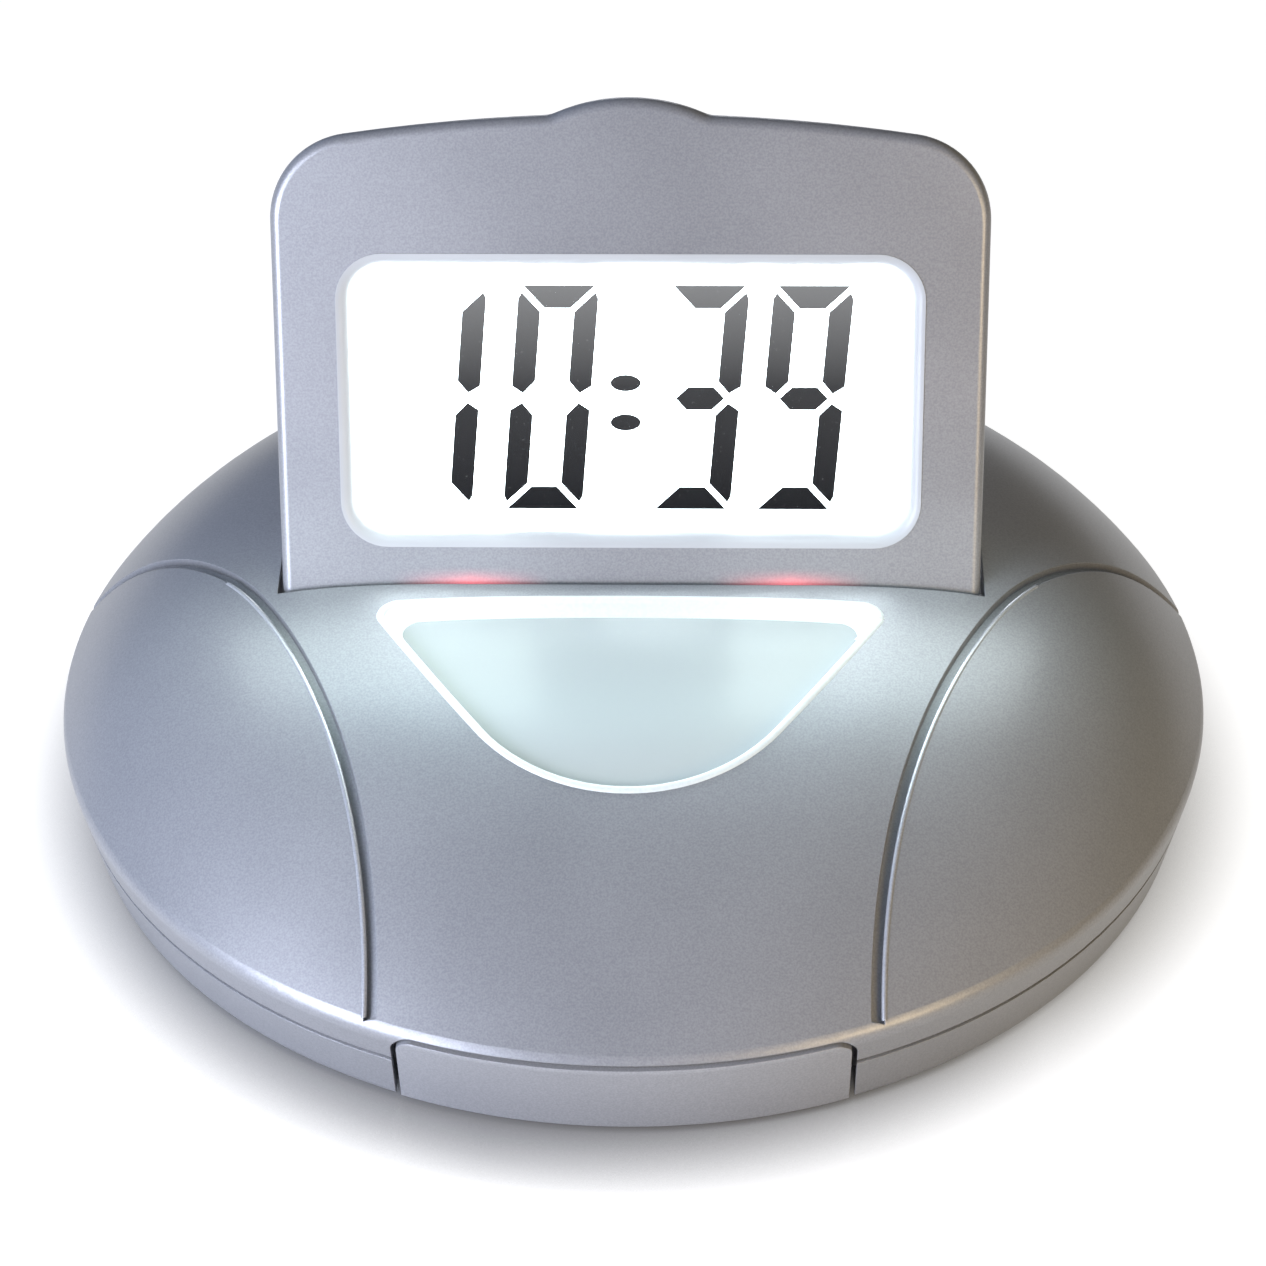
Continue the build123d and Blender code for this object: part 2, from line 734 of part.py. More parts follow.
# Slider: a ribbed knob in a recess, a stem through the floor, a plate and a nib below it
with BuildPart() as mode_slider:
    with BuildSketch(well_plane.offset(key_gap - slider_recess)):
        with Locations((0, slider_row)):
            Rectangle(*slider_knob)
    extrude(amount=slider_recess)
    with BuildSketch(well_plane.offset(key_gap)):
        with Locations((0, slider_row)):
            with GridLocations(slider_knob[0] / 4, 0, 3, 1):
                Rectangle(slider_knob[0] / 8, slider_knob[1])
    extrude(amount=-key_gap, mode=Mode.SUBTRACT)
    with BuildSketch(well_plane.offset(key_gap - slider_recess)):
        with Locations((0, slider_row)):
            Rectangle(*slider_stem)
    extrude(amount=-(key_flange_top + key_gap - slider_recess))
    with BuildSketch(well_plane.offset(-key_flange_top)):
        with Locations((0, slider_row)):
            Rectangle(slider_plate[0], slider_plate[1])
    extrude(amount=-slider_plate[2])
    with BuildSketch(well_plane.offset(-key_flange_top - slider_plate[2])):
        with Locations((0, slider_row)):
            Rectangle(slider_nib, slider_nib)
    extrude(amount=-(mode_switch_top - key_flange_top - slider_plate[2] + slider_nib_depth))
mode_slider.part.label = "mode_slider"
export_step(mode_slider.part, "parts/mode_slider.step")

with BuildPart() as mode_switch:
    with BuildSketch(well_plane.offset(-board_drop)):
        with Locations((0, slider_row)):
            Rectangle(mode_switch_size[0], mode_switch_size[1])
    extrude(amount=mode_switch_size[2])
    with BuildSketch(well_plane.offset(-mode_switch_top)):
        with Locations((0, slider_row)):
            Rectangle(slider_nib + 2 * (slider_travel + key_gap), slider_nib + 2 * key_gap)
    extrude(amount=-(slider_nib_depth + key_gap), mode=Mode.SUBTRACT)
mode_switch.part.label = "mode_switch"
export_step(mode_switch.part, "parts/mode_switch.step")

with BuildPart() as set_switches:
    with BuildSketch(well_plane.offset(-board_drop)):
        with Locations(*[(x, key_row) for x in key_x]):
            Rectangle(switch_body, switch_body)
    extrude(amount=switch_height)
    with BuildSketch(well_plane.offset(-switch_top)):
        with Locations(*[(x, key_row) for x in key_x]):
            Circle(plunger_radius)
    extrude(amount=plunger_height)
set_switches.part.label = "set_switches"
export_step(set_switches.part, "parts/set_switches.step")

with BuildPart() as main_board:
    with BuildSketch(well_plane.offset(-board_drop)):
        with Locations((0, (board_low + board_high) / 2)):
            Rectangle(2 * board_half_width, board_high - board_low)
        with Locations(*board_posts):
            Circle(board_screw_radius + running_clearance, mode=Mode.SUBTRACT)
    extrude(amount=-board_thickness)
main_board.part.label = "main_board"
export_step(main_board.part, "parts/main_board.step")

board_screw_planes = [
    Plane(
        origin=well_plane.from_local_coords((x, v, -board_drop - board_thickness)),
        x_dir=(1, 0, 0),
        z_dir=well_plane.z_dir,
    )
    for x, v in board_posts
]
with BuildPart() as board_screws:
    add(
        screw_group(
            board_screw_planes, board_screw_radius, board_screw_bite + board_thickness - piece_clearance,
            board_screw_head, board_screw_head_height,
        )
    )
board_screws.part.label = "board_screws"
export_step(board_screws.part, "parts/board_screws.step")

with BuildPart() as control_chip:
    with BuildSketch(well_plane.offset(-board_drop)):
        with Locations(chip_place):
            Rectangle(chip_size[0], chip_size[1])
    extrude(amount=chip_size[2])
control_chip.part.label = "control_chip"
export_step(control_chip.part, "parts/control_chip.step")

with BuildPart() as cable_socket:
    with BuildSketch(well_plane.offset(-board_drop)):
        with Locations(socket_place):
            Rectangle(socket_size[0], socket_size[1])
    extrude(amount=socket_size[2])
cable_socket.part.label = "cable_socket"
export_step(cable_socket.part, "parts/cable_socket.step")

# Two small cells side by side, turned end for end
with BuildPart() as battery_cells:
    for row, y in enumerate(cell_rows):
        sense = 1 if row % 2 == 0 else -1
        with BuildSketch(Plane.YZ.offset(-sense * (cell_length + cell_nub[1]) / 2)):
            with Locations((y, cell_z)):
                Circle(cell_radius)
        extrude(amount=sense * cell_length)
        with BuildSketch(Plane.YZ.offset(sense * (cell_length - cell_nub[1]) / 2)):
            with Locations((y, cell_z)):
                Circle(cell_nub[0])
        extrude(amount=sense * cell_nub[1])
battery_cells.part.label = "battery_cells"
export_step(battery_cells.part, "parts/battery_cells.step")

# Contact plates at both ends of the bay: a bridge on the left, two tabs on the right, sprung fingers
with BuildPart() as battery_contacts:
    with BuildSketch(Plane.YZ.offset(-bay_length / 2)):
        with Locations((bay_y, cell_z)):
            Rectangle(cell_pitch + contact_width, contact_width)
    extrude(amount=contact_thickness)
    with BuildSketch(Plane.YZ.offset(bay_length / 2)):
        with Locations(*[(y, cell_z) for y in cell_rows]):
            Rectangle(contact_width, contact_width)
    extrude(amount=-contact_thickness)
    for row, y in enumerate(cell_rows):
        sense = 1 if row % 2 == 0 else -1
        for end in (-1, 1):
            reach = contact_space - contact_thickness
            with BuildSketch(Plane.YZ.offset(end * (bay_length / 2 - contact_thickness))):
                with Locations((y, cell_z)):
                    Circle(cell_nub[0] if end == sense else contact_width / 2)
            extrude(amount=-end * reach, taper=0 if end == sense else contact_taper)
battery_contacts.part.label = "battery_contacts"
export_step(battery_contacts.part, "parts/battery_contacts.step")

# Battery door: full-round front edge on two stub pins, finger notch at the rear
with BuildPart() as battery_door:
    with BuildSketch(Plane.YZ):
        with Locations((door_axis_y, door_axis_z)):
            Circle(door_thickness / 2)
            with Locations(((door_rear_y - door_axis_y) / 2, 0)):
                Rectangle(door_rear_y - door_axis_y, door_thickness)
    extrude(amount=bay_length / 2 - door_gap, both=True)
    with BuildSketch(Plane.YZ):
        with Locations((door_axis_y, door_axis_z)):
            Circle(door_pin_radius)
    extrude(amount=bay_length / 2 + door_pin_length - door_pin_play, both=True)
    with BuildSketch(Plane.XY.offset(shell_bottom)):
        with Locations((0, door_rear_y)):
            SlotOverall(door_notch[0], door_notch[1])
    extrude(amount=door_thickness / 2, mode=Mode.SUBTRACT)
battery_door.part.label = "battery_door"
export_step(battery_door.part, "parts/battery_door.step")

# Shaker motor in a rubber sleeve, held down by a sprung clip
with BuildPart() as vibration_motor:
    with BuildSketch(motor_plane.offset(-motor_length / 2)):
        Circle(motor_radius)
    extrude(amount=motor_length)
    fillet(vibration_motor.edges(), motor_radius / 10)
    with BuildSketch(motor_plane.offset(motor_length / 2 - touch)):
        Circle(motor_boss[0])
    extrude(amount=motor_boss[1])
    with BuildSketch(motor_plane.offset(shaft_back)):
        Circle(shaft_radius + running_clearance)
    extrude(amount=motor_length, mode=Mode.SUBTRACT)
vibration_motor.part.label = "vibration_motor"
export_step(vibration_motor.part, "parts/vibration_motor.step")

with BuildPart() as motor_sleeve_ring:
    with BuildSketch(motor_plane.offset(-sleeve_length / 2)):
        Circle(motor_radius + motor_sleeve)
        Circle(motor_radius, mode=Mode.SUBTRACT)
    extrude(amount=sleeve_length)
motor_sleeve_ring.part.label = "motor_sleeve"
export_step(motor_sleeve_ring.part, "parts/motor_sleeve.step")

with BuildPart() as motor_clip:
    with BuildSketch(motor_plane.offset(-clip_width / 2)):
        Circle(clip_half_width)
        with Locations((0, clip_leg / 2)):
            Rectangle(2 * clip_half_width, clip_leg)
        Circle(motor_radius + motor_sleeve + running_clearance, mode=Mode.SUBTRACT)
        with Locations((0, clip_half_width)):
            Rectangle(
                2 * (saddle_half_width + running_clearance), 2 * clip_half_width, mode=Mode.SUBTRACT,
            )
    extrude(amount=clip_width)
motor_clip.part.label = "motor_clip"
export_step(motor_clip.part, "parts/motor_clip.step")

with BuildPart() as motor_shaft:
    with BuildSketch(motor_plane.offset(shaft_back + piece_clearance)):
        Circle(shaft_radius)
    extrude(amount=motor_length / 2 + shaft_reach - shaft_back - piece_clearance)
motor_shaft.part.label = "motor_shaft"
export_step(motor_shaft.part, "parts/motor_shaft.step")

with BuildPart() as eccentric_weight:
    with BuildSketch(motor_plane.offset(motor_length / 2 + weight_gap)):
        Circle(weight_radius)
        with Locations((0, -weight_radius / 2)):
            Rectangle(2 * weight_radius, weight_radius, mode=Mode.SUBTRACT)
        Circle(weight_hub)
        Circle(shaft_radius, mode=Mode.SUBTRACT)
    extrude(amount=weight_length)
eccentric_weight.part.label = "eccentric_weight"
export_step(eccentric_weight.part, "parts/eccentric_weight.step")

# Sounder over the ring of holes in the floor
with BuildPart() as buzzer:
    with BuildSketch(Plane.XY.offset(floor_top)):
        with Locations((buzzer_x, buzzer_y)):
            Circle(buzzer_radius)
    extrude(amount=buzzer_height)
    fillet(buzzer.edges().group_by(Axis.Z)[-1], buzzer_ring)
    with BuildSketch(Plane.XY.offset(floor_top)):
        with Locations((buzzer_x, buzzer_y)):
            Circle(sound_ring_radius)
    extrude(amount=buzzer_height / 2, mode=Mode.SUBTRACT)
buzzer.part.label = "buzzer"
export_step(buzzer.part, "parts/buzzer.step")

with BuildPart() as rubber_feet:
    with BuildSketch():
        with Locations(*foot_places):
            Circle(foot_radius)
    extrude(amount=shell_bottom + foot_sink)
    chamfer(rubber_feet.edges().group_by(Axis.Z)[0], foot_proud / 2)
rubber_feet.part.label = "rubber_feet"
export_step(rubber_feet.part, "parts/rubber_feet.step")

case_screw_planes = [Plane.XY.offset(screw_seat_z).move(Location((x, y, 0))) for x, y in screw_places]
with BuildPart() as case_screws:
    add(
        screw_group(
            case_screw_planes, screw_radius, screw_grip + screw_bite, screw_head_radius, screw_head_height,
        )
    )
case_screws.part.label = "case_screws"
export_step(case_screws.part, "parts/case_screws.step")

# Two round lamps behind the front wall of the display slot
with BuildPart() as indicator_leds:
    with BuildSketch(lamp_plane):
        with Locations((-lamp_x, 0), (lamp_x, 0)):
            Circle(lamp_radius)
    extrude(amount=lamp_length)
    fillet(indicator_leds.edges().group_by(Axis.Y)[-1], lamp_radius / 2)
indicator_leds.part.label = "indicator_leds"
export_step(indicator_leds.part, "parts/indicator_leds.step")

# Display housing, in two halves that meet at the hinge plane of the slab
with BuildPart() as display_block:
    add(display_form(0, True))
    rim = display_block.edges().filter_by(Axis.X, reverse=True)
    fillet(rim.filter_by(Axis((0, 0, 0), draft_of), reverse=True), display_edge)

with BuildPart() as display_hollow:
    add(display_form(display_shell, False))
    for side in (-1, 1):
        with BuildSketch(hinge_plane.offset(side * (display_half_width - pin_hold))):
            Circle(barrel_radius)
        extrude(amount=side * pin_hold, mode=Mode.SUBTRACT)
    with BuildSketch(display_plane.offset(-inner_front)):
        with Locations(*display_screw_places):
            Circle(display_boss_radius)
    extrude(amount=2 * inner_front, mode=Mode.SUBTRACT)

with BuildPart() as display_bezel:
    add(display_block.part)
    split(bisect_by=display_plane, keep=Keep.TOP)
    add(display_hollow.part, mode=Mode.SUBTRACT)
    with BuildSketch(display_plane.offset(barrel_radius)):
        with Locations((0, window_middle)):
            RectangleRounded(*window_size, window_corner)
    extrude(amount=-2 * display_shell, mode=Mode.SUBTRACT)
    mouth_edges = display_bezel.edges(Select.LAST).group_by(Axis(hinge_point, front_of))[-1]
    chamfer(mouth_edges, window_chamfer)
    with BuildSketch(hinge_plane):
        Circle(pin_radius + pin_play)
    extrude(amount=sky, both=True, mode=Mode.SUBTRACT)
    with BuildSketch(display_plane):
        with Locations(*display_screw_places):
            Circle(small_screw_radius + running_clearance)
    extrude(amount=inner_front, mode=Mode.SUBTRACT)
display_bezel.part.label = "display_bezel"
export_step(display_bezel.part, "parts/display_bezel.step")

with BuildPart() as display_back:
    add(display_block.part)
    split(bisect_by=display_plane, keep=Keep.BOTTOM)
    add(display_hollow.part, mode=Mode.SUBTRACT)
    with BuildSketch(hinge_plane):
        Circle(pin_radius + pin_play)
    extrude(amount=sky, both=True, mode=Mode.SUBTRACT)
    with BuildSketch(display_plane.offset(-barrel_radius)):
        with Locations(*display_screw_places):
            Circle(small_screw_radius + running_clearance)
    extrude(amount=barrel_radius, mode=Mode.SUBTRACT)
    with BuildSketch(display_plane.offset(-barrel_radius)):
        with Locations(*display_screw_places):
            Circle(small_screw_head + screw_clearance)
    extrude(amount=small_screw_seat, mode=Mode.SUBTRACT)
display_back.part.label = "display_back"
export_step(display_back.part, "parts/display_back.step")

display_screw_planes = [
    Plane(
        origin=display_plane.from_local_coords((x, v, small_screw_seat - barrel_radius)),
        x_dir=(1, 0, 0),
        z_dir=front_of,
    )
    for x, v in display_screw_places
]
with BuildPart() as display_screws:
    add(
        screw_group(
            display_screw_planes, small_screw_radius, barrel_radius - small_screw_seat + inner_front / 2,
            small_screw_head, small_screw_head_height,
        )
    )
display_screws.part.label = "display_screws"
export_step(display_screws.part, "parts/display_screws.step")

# Layers behind the window: lens, liquid crystal panel, digits, light guide, board
with BuildPart() as window_lens:
    with BuildSketch(display_plane.offset(inner_front)):
        with Locations((0, window_middle)):
            RectangleRounded(*[side + 2 * lens_margin for side in window_size], window_corner)
    extrude(amount=-lens_thickness)
window_lens.part.label = "window_lens"
export_step(window_lens.part, "parts/window_lens.step")

with BuildPart() as lcd_panel:
    with BuildSketch(display_plane.offset(lcd_front)):
        with Locations((0, (lcd_low + lcd_high) / 2)):
            Rectangle(2 * (window_half_width + lcd_side_margin), lcd_high - lcd_low)
    extrude(amount=-lcd_thickness)
lcd_panel.part.label = "lcd_panel"
export_step(lcd_panel.part, "parts/lcd_panel.step")


def segment_points(name):
    """Corners of one straight segment of a digit about its middle, before the slant."""
    w = digit_width / 2
    h = digit_height / 2
    t = stroke
    g = stroke_gap
    across = [(-w + g, h), (-w + t + g, h - t), (w - t - g, h - t), (w - g, h)]
    r = stroke_rounding
    upright = [(w - r, h - g - r), (w - t, h - t - g), (w - t, tip_gap + tip_inner), (w - t / 2, tip_gap)]
    upright += [(w, tip_gap + tip_outer), (w, h - g - 3 * r)]
    middle = [(g - w + t / 2, 0), (g - w + t, -t / 2), (w - t - g, -t / 2)]
    middle += [(w - t / 2 - g, 0), (w - t - g, t / 2), (g - w + t, t / 2)]
    flips = {"a": (1, 1), "d": (1, -1), "b": (1, 1), "c": (1, -1), "f": (-1, 1), "e": (-1, -1), "g": (1, 1)}
    shape = across if name in "ad" else middle if name == "g" else upright
    flip_x, flip_y = flips[name]
    points = [(x * flip_x, y * flip_y) for x, y in shape]
    if flip_x * flip_y < 0:
        points.reverse()
    return [(x + y * tan(radians(slant)), y) for x, y in points]


lit_segments = {"0": "abcdef", "1": "bc", "3": "abcdg", "9": "abcdfg"}
with BuildPart() as lcd_digits:
    with BuildSketch(display_plane.offset(lcd_front)):
        for digit, x in shown_digits:
            for segment in lit_segments[digit]:
                with Locations((x, window_middle + digit_rise)):
                    Polygon(*segment_points(segment), align=None)
        for rise in (-colon_spacing / 2, colon_spacing / 2):
            with Locations((colon_x, window_middle + colon_rise + rise)):
                Ellipse(*colon_radii)
    extrude(amount=digit_thickness)
lcd_digits.part.label = "lcd_digits"
export_step(lcd_digits.part, "parts/lcd_digits.step")

with BuildPart() as light_guide:
    with BuildSketch(display_plane.offset(lcd_back)):
        with Locations((0, (guide_low + guide_high) / 2)):
            Rectangle(2 * guide_half_width, guide_high - guide_low)
    extrude(amount=-guide_thickness)
light_guide.part.label = "light_guide"
export_step(light_guide.part, "parts/light_guide.step")

with BuildPart() as display_board:
    with BuildSketch(display_plane.offset(display_board_front)):
        with Locations((0, (display_board_low + display_board_high) / 2)):
            Rectangle(
                2 * (window_half_width + display_board_side_margin), display_board_high - display_board_low,
            )
    extrude(amount=-display_board_thickness)
display_board.part.label = "display_board"
export_step(display_board.part, "parts/display_board.step")

with BuildPart() as backlight_leds:
    with BuildSketch(display_plane.offset(display_board_front)):
        with Locations((0, (guide_low + guide_high) / 2)):
            with GridLocations(2 * guide_half_width + backlight_size[0] + 2 * touch, backlight_pitch, 2, 3):
                Rectangle(backlight_size[0], backlight_size[1])
    extrude(amount=backlight_size[2])
backlight_leds.part.label = "backlight_leds"
export_step(backlight_leds.part, "parts/backlight_leds.step")

with BuildPart() as lcd_connector:
    with BuildSketch(display_plane.offset(display_board_front)):
        with Locations((0, lcd_low + strip_width)):
            Rectangle(2 * (window_half_width - strip_inset), strip_width)
    extrude(amount=lcd_back - display_board_front)
lcd_connector.part.label = "lcd_connector"
export_step(lcd_connector.part, "parts/lcd_connector.step")

with BuildPart() as display_socket:
    with BuildSketch(display_plane.offset(display_board_front)):
        with Locations((cable_turn_x, display_socket_v)):
            Rectangle(display_socket_size[0], display_socket_size[1])
    extrude(amount=display_socket_size[2])
display_socket.part.label = "display_socket"
export_step(display_socket.part, "parts/display_socket.step")

# Hinge: a solid pin on the left, a bored one on the right that the cable runs through
with BuildPart() as hinge_pin:
    with BuildSketch(hinge_plane.offset(pin_hold - display_half_width)):
        Circle(pin_radius)
    extrude(amount=-(pin_hold + slot_side_gap + pin_reach))
hinge_pin.part.label = "hinge_pin"
export_step(hinge_pin.part, "parts/hinge_pin.step")

with BuildPart() as hinge_tube:
    with BuildSketch(hinge_plane.offset(display_half_width - pin_hold)):
        Circle(pin_radius)
        Circle(pin_bore, mode=Mode.SUBTRACT)
    extrude(amount=pin_hold + slot_side_gap + pin_reach)
hinge_tube.part.label = "hinge_tube"
export_step(hinge_tube.part, "parts/hinge_tube.step")

with BuildPart() as display_cable_upper:
    plug_v = display_socket_v - display_socket_size[1] / 2 - piece_clearance
    with BuildLine() as upper_run:
        FilletPolyline(
            (well_half_width - cable_split, hinge_y, hinge_z),
            (cable_turn_x, hinge_y, hinge_z),
            display_plane.from_local_coords((cable_turn_x, plug_v, display_board_front + cable_lift)),
            radius=cable_bend,
        )
    with BuildSketch(Plane(origin=upper_run.line @ 0, z_dir=upper_run.line % 0)):
        Circle(cable_radius)
    sweep(path=upper_run.line)
display_cable_upper.part.label = "display_cable_upper"
export_step(display_cable_upper.part, "parts/display_cable_upper.step")

with BuildPart() as display_cable:
    socket_mouth = well_plane.from_local_coords(
        (socket_place[0] + socket_size[0] / 2, socket_place[1], socket_size[2] / 2 - board_drop)
    )
    with BuildLine() as lower_run:
        FilletPolyline(
            (well_half_width - cable_split + piece_clearance, hinge_y, hinge_z),
            (cable_side_x, hinge_y, hinge_z),
            (cable_side_x, cable_knee[0], cable_knee[1]),
            (cable_side_x, socket_mouth.Y, socket_mouth.Z),
            socket_mouth,
            radius=cable_bend,
        )
    with BuildSketch(Plane(origin=lower_run.line @ 0, z_dir=lower_run.line % 0)):
        Circle(cable_radius)
    sweep(path=lower_run.line)
display_cable.part.label = "display_cable"
export_step(display_cable.part, "parts/display_cable.step")
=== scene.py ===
import json
from math import cos, pi, radians, sin

import bmesh
import bpy
from mathutils import Matrix, Vector
from mathutils.bvhtree import BVHTree


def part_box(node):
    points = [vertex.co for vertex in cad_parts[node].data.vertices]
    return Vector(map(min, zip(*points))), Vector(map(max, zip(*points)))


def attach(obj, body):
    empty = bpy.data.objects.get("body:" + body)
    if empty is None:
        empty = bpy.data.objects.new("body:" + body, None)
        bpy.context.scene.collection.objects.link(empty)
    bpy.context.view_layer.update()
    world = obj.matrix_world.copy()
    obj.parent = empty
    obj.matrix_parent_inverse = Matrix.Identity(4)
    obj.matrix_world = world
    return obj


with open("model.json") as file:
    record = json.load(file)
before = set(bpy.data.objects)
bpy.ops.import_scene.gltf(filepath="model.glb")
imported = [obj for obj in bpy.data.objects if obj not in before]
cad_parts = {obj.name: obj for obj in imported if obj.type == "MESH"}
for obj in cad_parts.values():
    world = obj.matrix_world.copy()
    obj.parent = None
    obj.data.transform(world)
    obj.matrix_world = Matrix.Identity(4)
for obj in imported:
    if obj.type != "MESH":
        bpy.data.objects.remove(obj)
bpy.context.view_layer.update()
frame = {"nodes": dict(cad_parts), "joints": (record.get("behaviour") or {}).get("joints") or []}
mm = 0.001
sideways = Vector((1, 0, 0))
down = Vector((0, 0, -1))
clearHeight = 0.2  # well above the object, where a ray straight down starts
scene = bpy.context.scene
scene.view_settings.view_transform = "Standard"

# the display leans about its hinge, so its own directions come from the panel's broad face
hingePoint = Vector(next(j for j in frame["joints"] if j["name"] == "display_hinge")["pos_m"])
hingePoint.x = 0
panelFace = max(frame["nodes"]["lcd_panel"].data.polygons, key=lambda face: face.area)
faceOut = Vector(panelFace.normal) if panelFace.normal.y < 0 else -Vector(panelFace.normal)
faceUp = faceOut.cross(sideways)


def onDisplay(x, up, out):  # a place on the display, from the middle of its hinge
    return hingePoint + Vector((x, 0, 0)) + faceUp * up + faceOut * out


def reachAlong(node, direction):  # nearest and farthest a node goes in a direction from the hinge
    spans = [(vertex.co - hingePoint).dot(direction) for vertex in frame["nodes"][node].data.vertices]
    return min(spans), max(spans)


# camera: a long lens in front and above, turned a hair so that the oval sits as photographed
photoCamera = {
    "target": Vector((0, 0, 12.8 * mm)),
    "distance": 353.3 * mm,
    "elevation": radians(41.896),
    "yaw": radians(-1.524),
    "roll": radians(0.768),
    "lens": 100.4,
    "sensor": 36,
    "imageSide": 1266,
    "shiftPixels": (0.46, 34.17),
    "nearest": 1 * mm,
}


def makeCamera(look):
    turn = Matrix.Rotation(-look["yaw"], 3, "Z")
    back = turn @ Vector((0, -cos(look["elevation"]), sin(look["elevation"])))
    level = turn @ sideways
    plumb = back.cross(level)
    right = level * cos(look["roll"]) - plumb * sin(look["roll"])
    upward = level * sin(look["roll"]) + plumb * cos(look["roll"])
    lens = bpy.data.cameras.new("photoCamera")
    lens.lens = look["lens"]
    lens.sensor_width = look["sensor"]
    lens.shift_x, lens.shift_y = [pixels / look["imageSide"] for pixels in look["shiftPixels"]]
    lens.clip_start = look["nearest"]
    camera = bpy.data.objects.new("photoCamera", lens)
    scene.collection.objects.link(camera)
    placed = Matrix((right, upward, back)).transposed().to_4x4()
    placed.translation = look["target"] + back * look["distance"]
    camera.matrix_world = placed
    scene.camera = camera


makeCamera(photoCamera)
print("camera set")

# most of a noise's values lie in this span, and more detail makes a noise rougher
noiseSpan = (0.3, 0.7)
smoothDetail, plainDetail, richDetail, scuffDetail = 1.0, 2.0, 3.0, 4.0


# small helpers for shader trees: a socket given as a value is linked, anything else is set
def feed(tree, target, value):
    if isinstance(value, bpy.types.NodeSocket):
        tree.links.new(value, target)
    else:
        target.default_value = value


def connect(tree, node, inputs):
    for name, value in inputs.items():
        feed(tree, node.inputs[name], value)


def addNode(tree, kind, inputs=None, **settings):
    node = tree.nodes.new("ShaderNode" + kind)
    for name, value in settings.items():
        setattr(node, name, value)
    connect(tree, node, inputs or {})
    return node


def startFinish(name):
    finish = bpy.data.materials.new(name)
    finish.use_nodes = True
    tree = finish.node_tree
    tree.nodes.clear()
    shader = addNode(tree, "BsdfPrincipled")
    addNode(tree, "OutputMaterial", {"Surface": shader.outputs["BSDF"]})
    return finish, tree, shader


def objectPlace(tree, stretch=None):
    place = addNode(tree, "TexCoord").outputs["Object"]
    if stretch:
        place = addNode(tree, "Mapping", {"Vector": place, "Scale": stretch}).outputs["Vector"]
    return place


def alongAxis(tree, place, axis):
    return addNode(tree, "SeparateXYZ", {"Vector": place}).outputs[axis]


def grain(tree, place, scale, detail=plainDetail, roughness=0.5):
    inputs = {"Vector": place, "Scale": scale, "Detail": detail, "Roughness": roughness}
    return addNode(tree, "TexNoise", inputs).outputs["Fac"]


def shades(tree, share, stops):  # colours along a 0 to 1 value
    ramp = addNode(tree, "ValToRGB", {"Fac": share})
    while len(ramp.color_ramp.elements) < len(stops):
        ramp.color_ramp.elements.new(0.5)
    for element, (position, colour) in zip(ramp.color_ramp.elements, stops):
        element.position = position
        element.color = (*colour, 1)
    return ramp.outputs["Color"]


def twoTones(tree, noise, dark, pale, span=noiseSpan):
    return shades(tree, noise, list(zip(span, (dark, pale))))


def remap(tree, value, fromLow, fromHigh, toLow, toHigh):
    limits = {"From Min": fromLow, "From Max": fromHigh, "To Min": toLow, "To Max": toHigh}
    return addNode(tree, "MapRange", {"Value": value, **limits}).outputs["Result"]


def mixColours(tree, share, first, second, blend="MIX"):
    node = addNode(tree, "Mix", data_type="RGBA", blend_type=blend)
    feed(tree, node.inputs[0], share)
    for index, colour in ((6, first), (7, second)):  # the node's two colour sockets
        feed(tree, node.inputs[index], colour if isinstance(colour, bpy.types.NodeSocket) else (*colour, 1))
    return node.outputs[2]


def calculate(tree, operation, first, second=0.0):
    node = addNode(tree, "Math", operation=operation)
    for index, value in enumerate((first, second)):
        feed(tree, node.inputs[index], value)
    return node.outputs["Value"]


def relief(tree, height, strength, depth, under=None):
    inputs = {"Height": height, "Strength": strength, "Distance": depth}
    if under is not None:
        inputs["Normal"] = under
    return addNode(tree, "Bump", inputs).outputs["Normal"]


def seenDirectly(tree, mirroredShare):  # 1 to the camera and through glass, a share of it in reflections
    ray = addNode(tree, "LightPath").outputs
    mirrored = calculate(tree, "MULTIPLY", ray["Is Glossy Ray"], mirroredShare)
    direct = calculate(tree, "MAXIMUM", ray["Is Camera Ray"], mirrored)
    return calculate(tree, "MAXIMUM", direct, ray["Is Transmission Ray"])


# floor: pale plane that reads white to the camera; its glow fades near the object as a painted shadow,
# deepest left of the middle, and the real shadow stays
floorLook = {
    "half": 4.0,
    "colour": (0.24, 0.24, 0.24),
    "roughness": 0.9,
    "cameraGlow": 0.97,
    "mirroredShare": 0.7,
    "shadeReach": 8.5 * mm,
    "shadeSamples": 8,
    "shadeDepth": (3.6, 1.1),
    "shadeMiddle": -13 * mm,
    "shadeSide": 52 * mm,
}


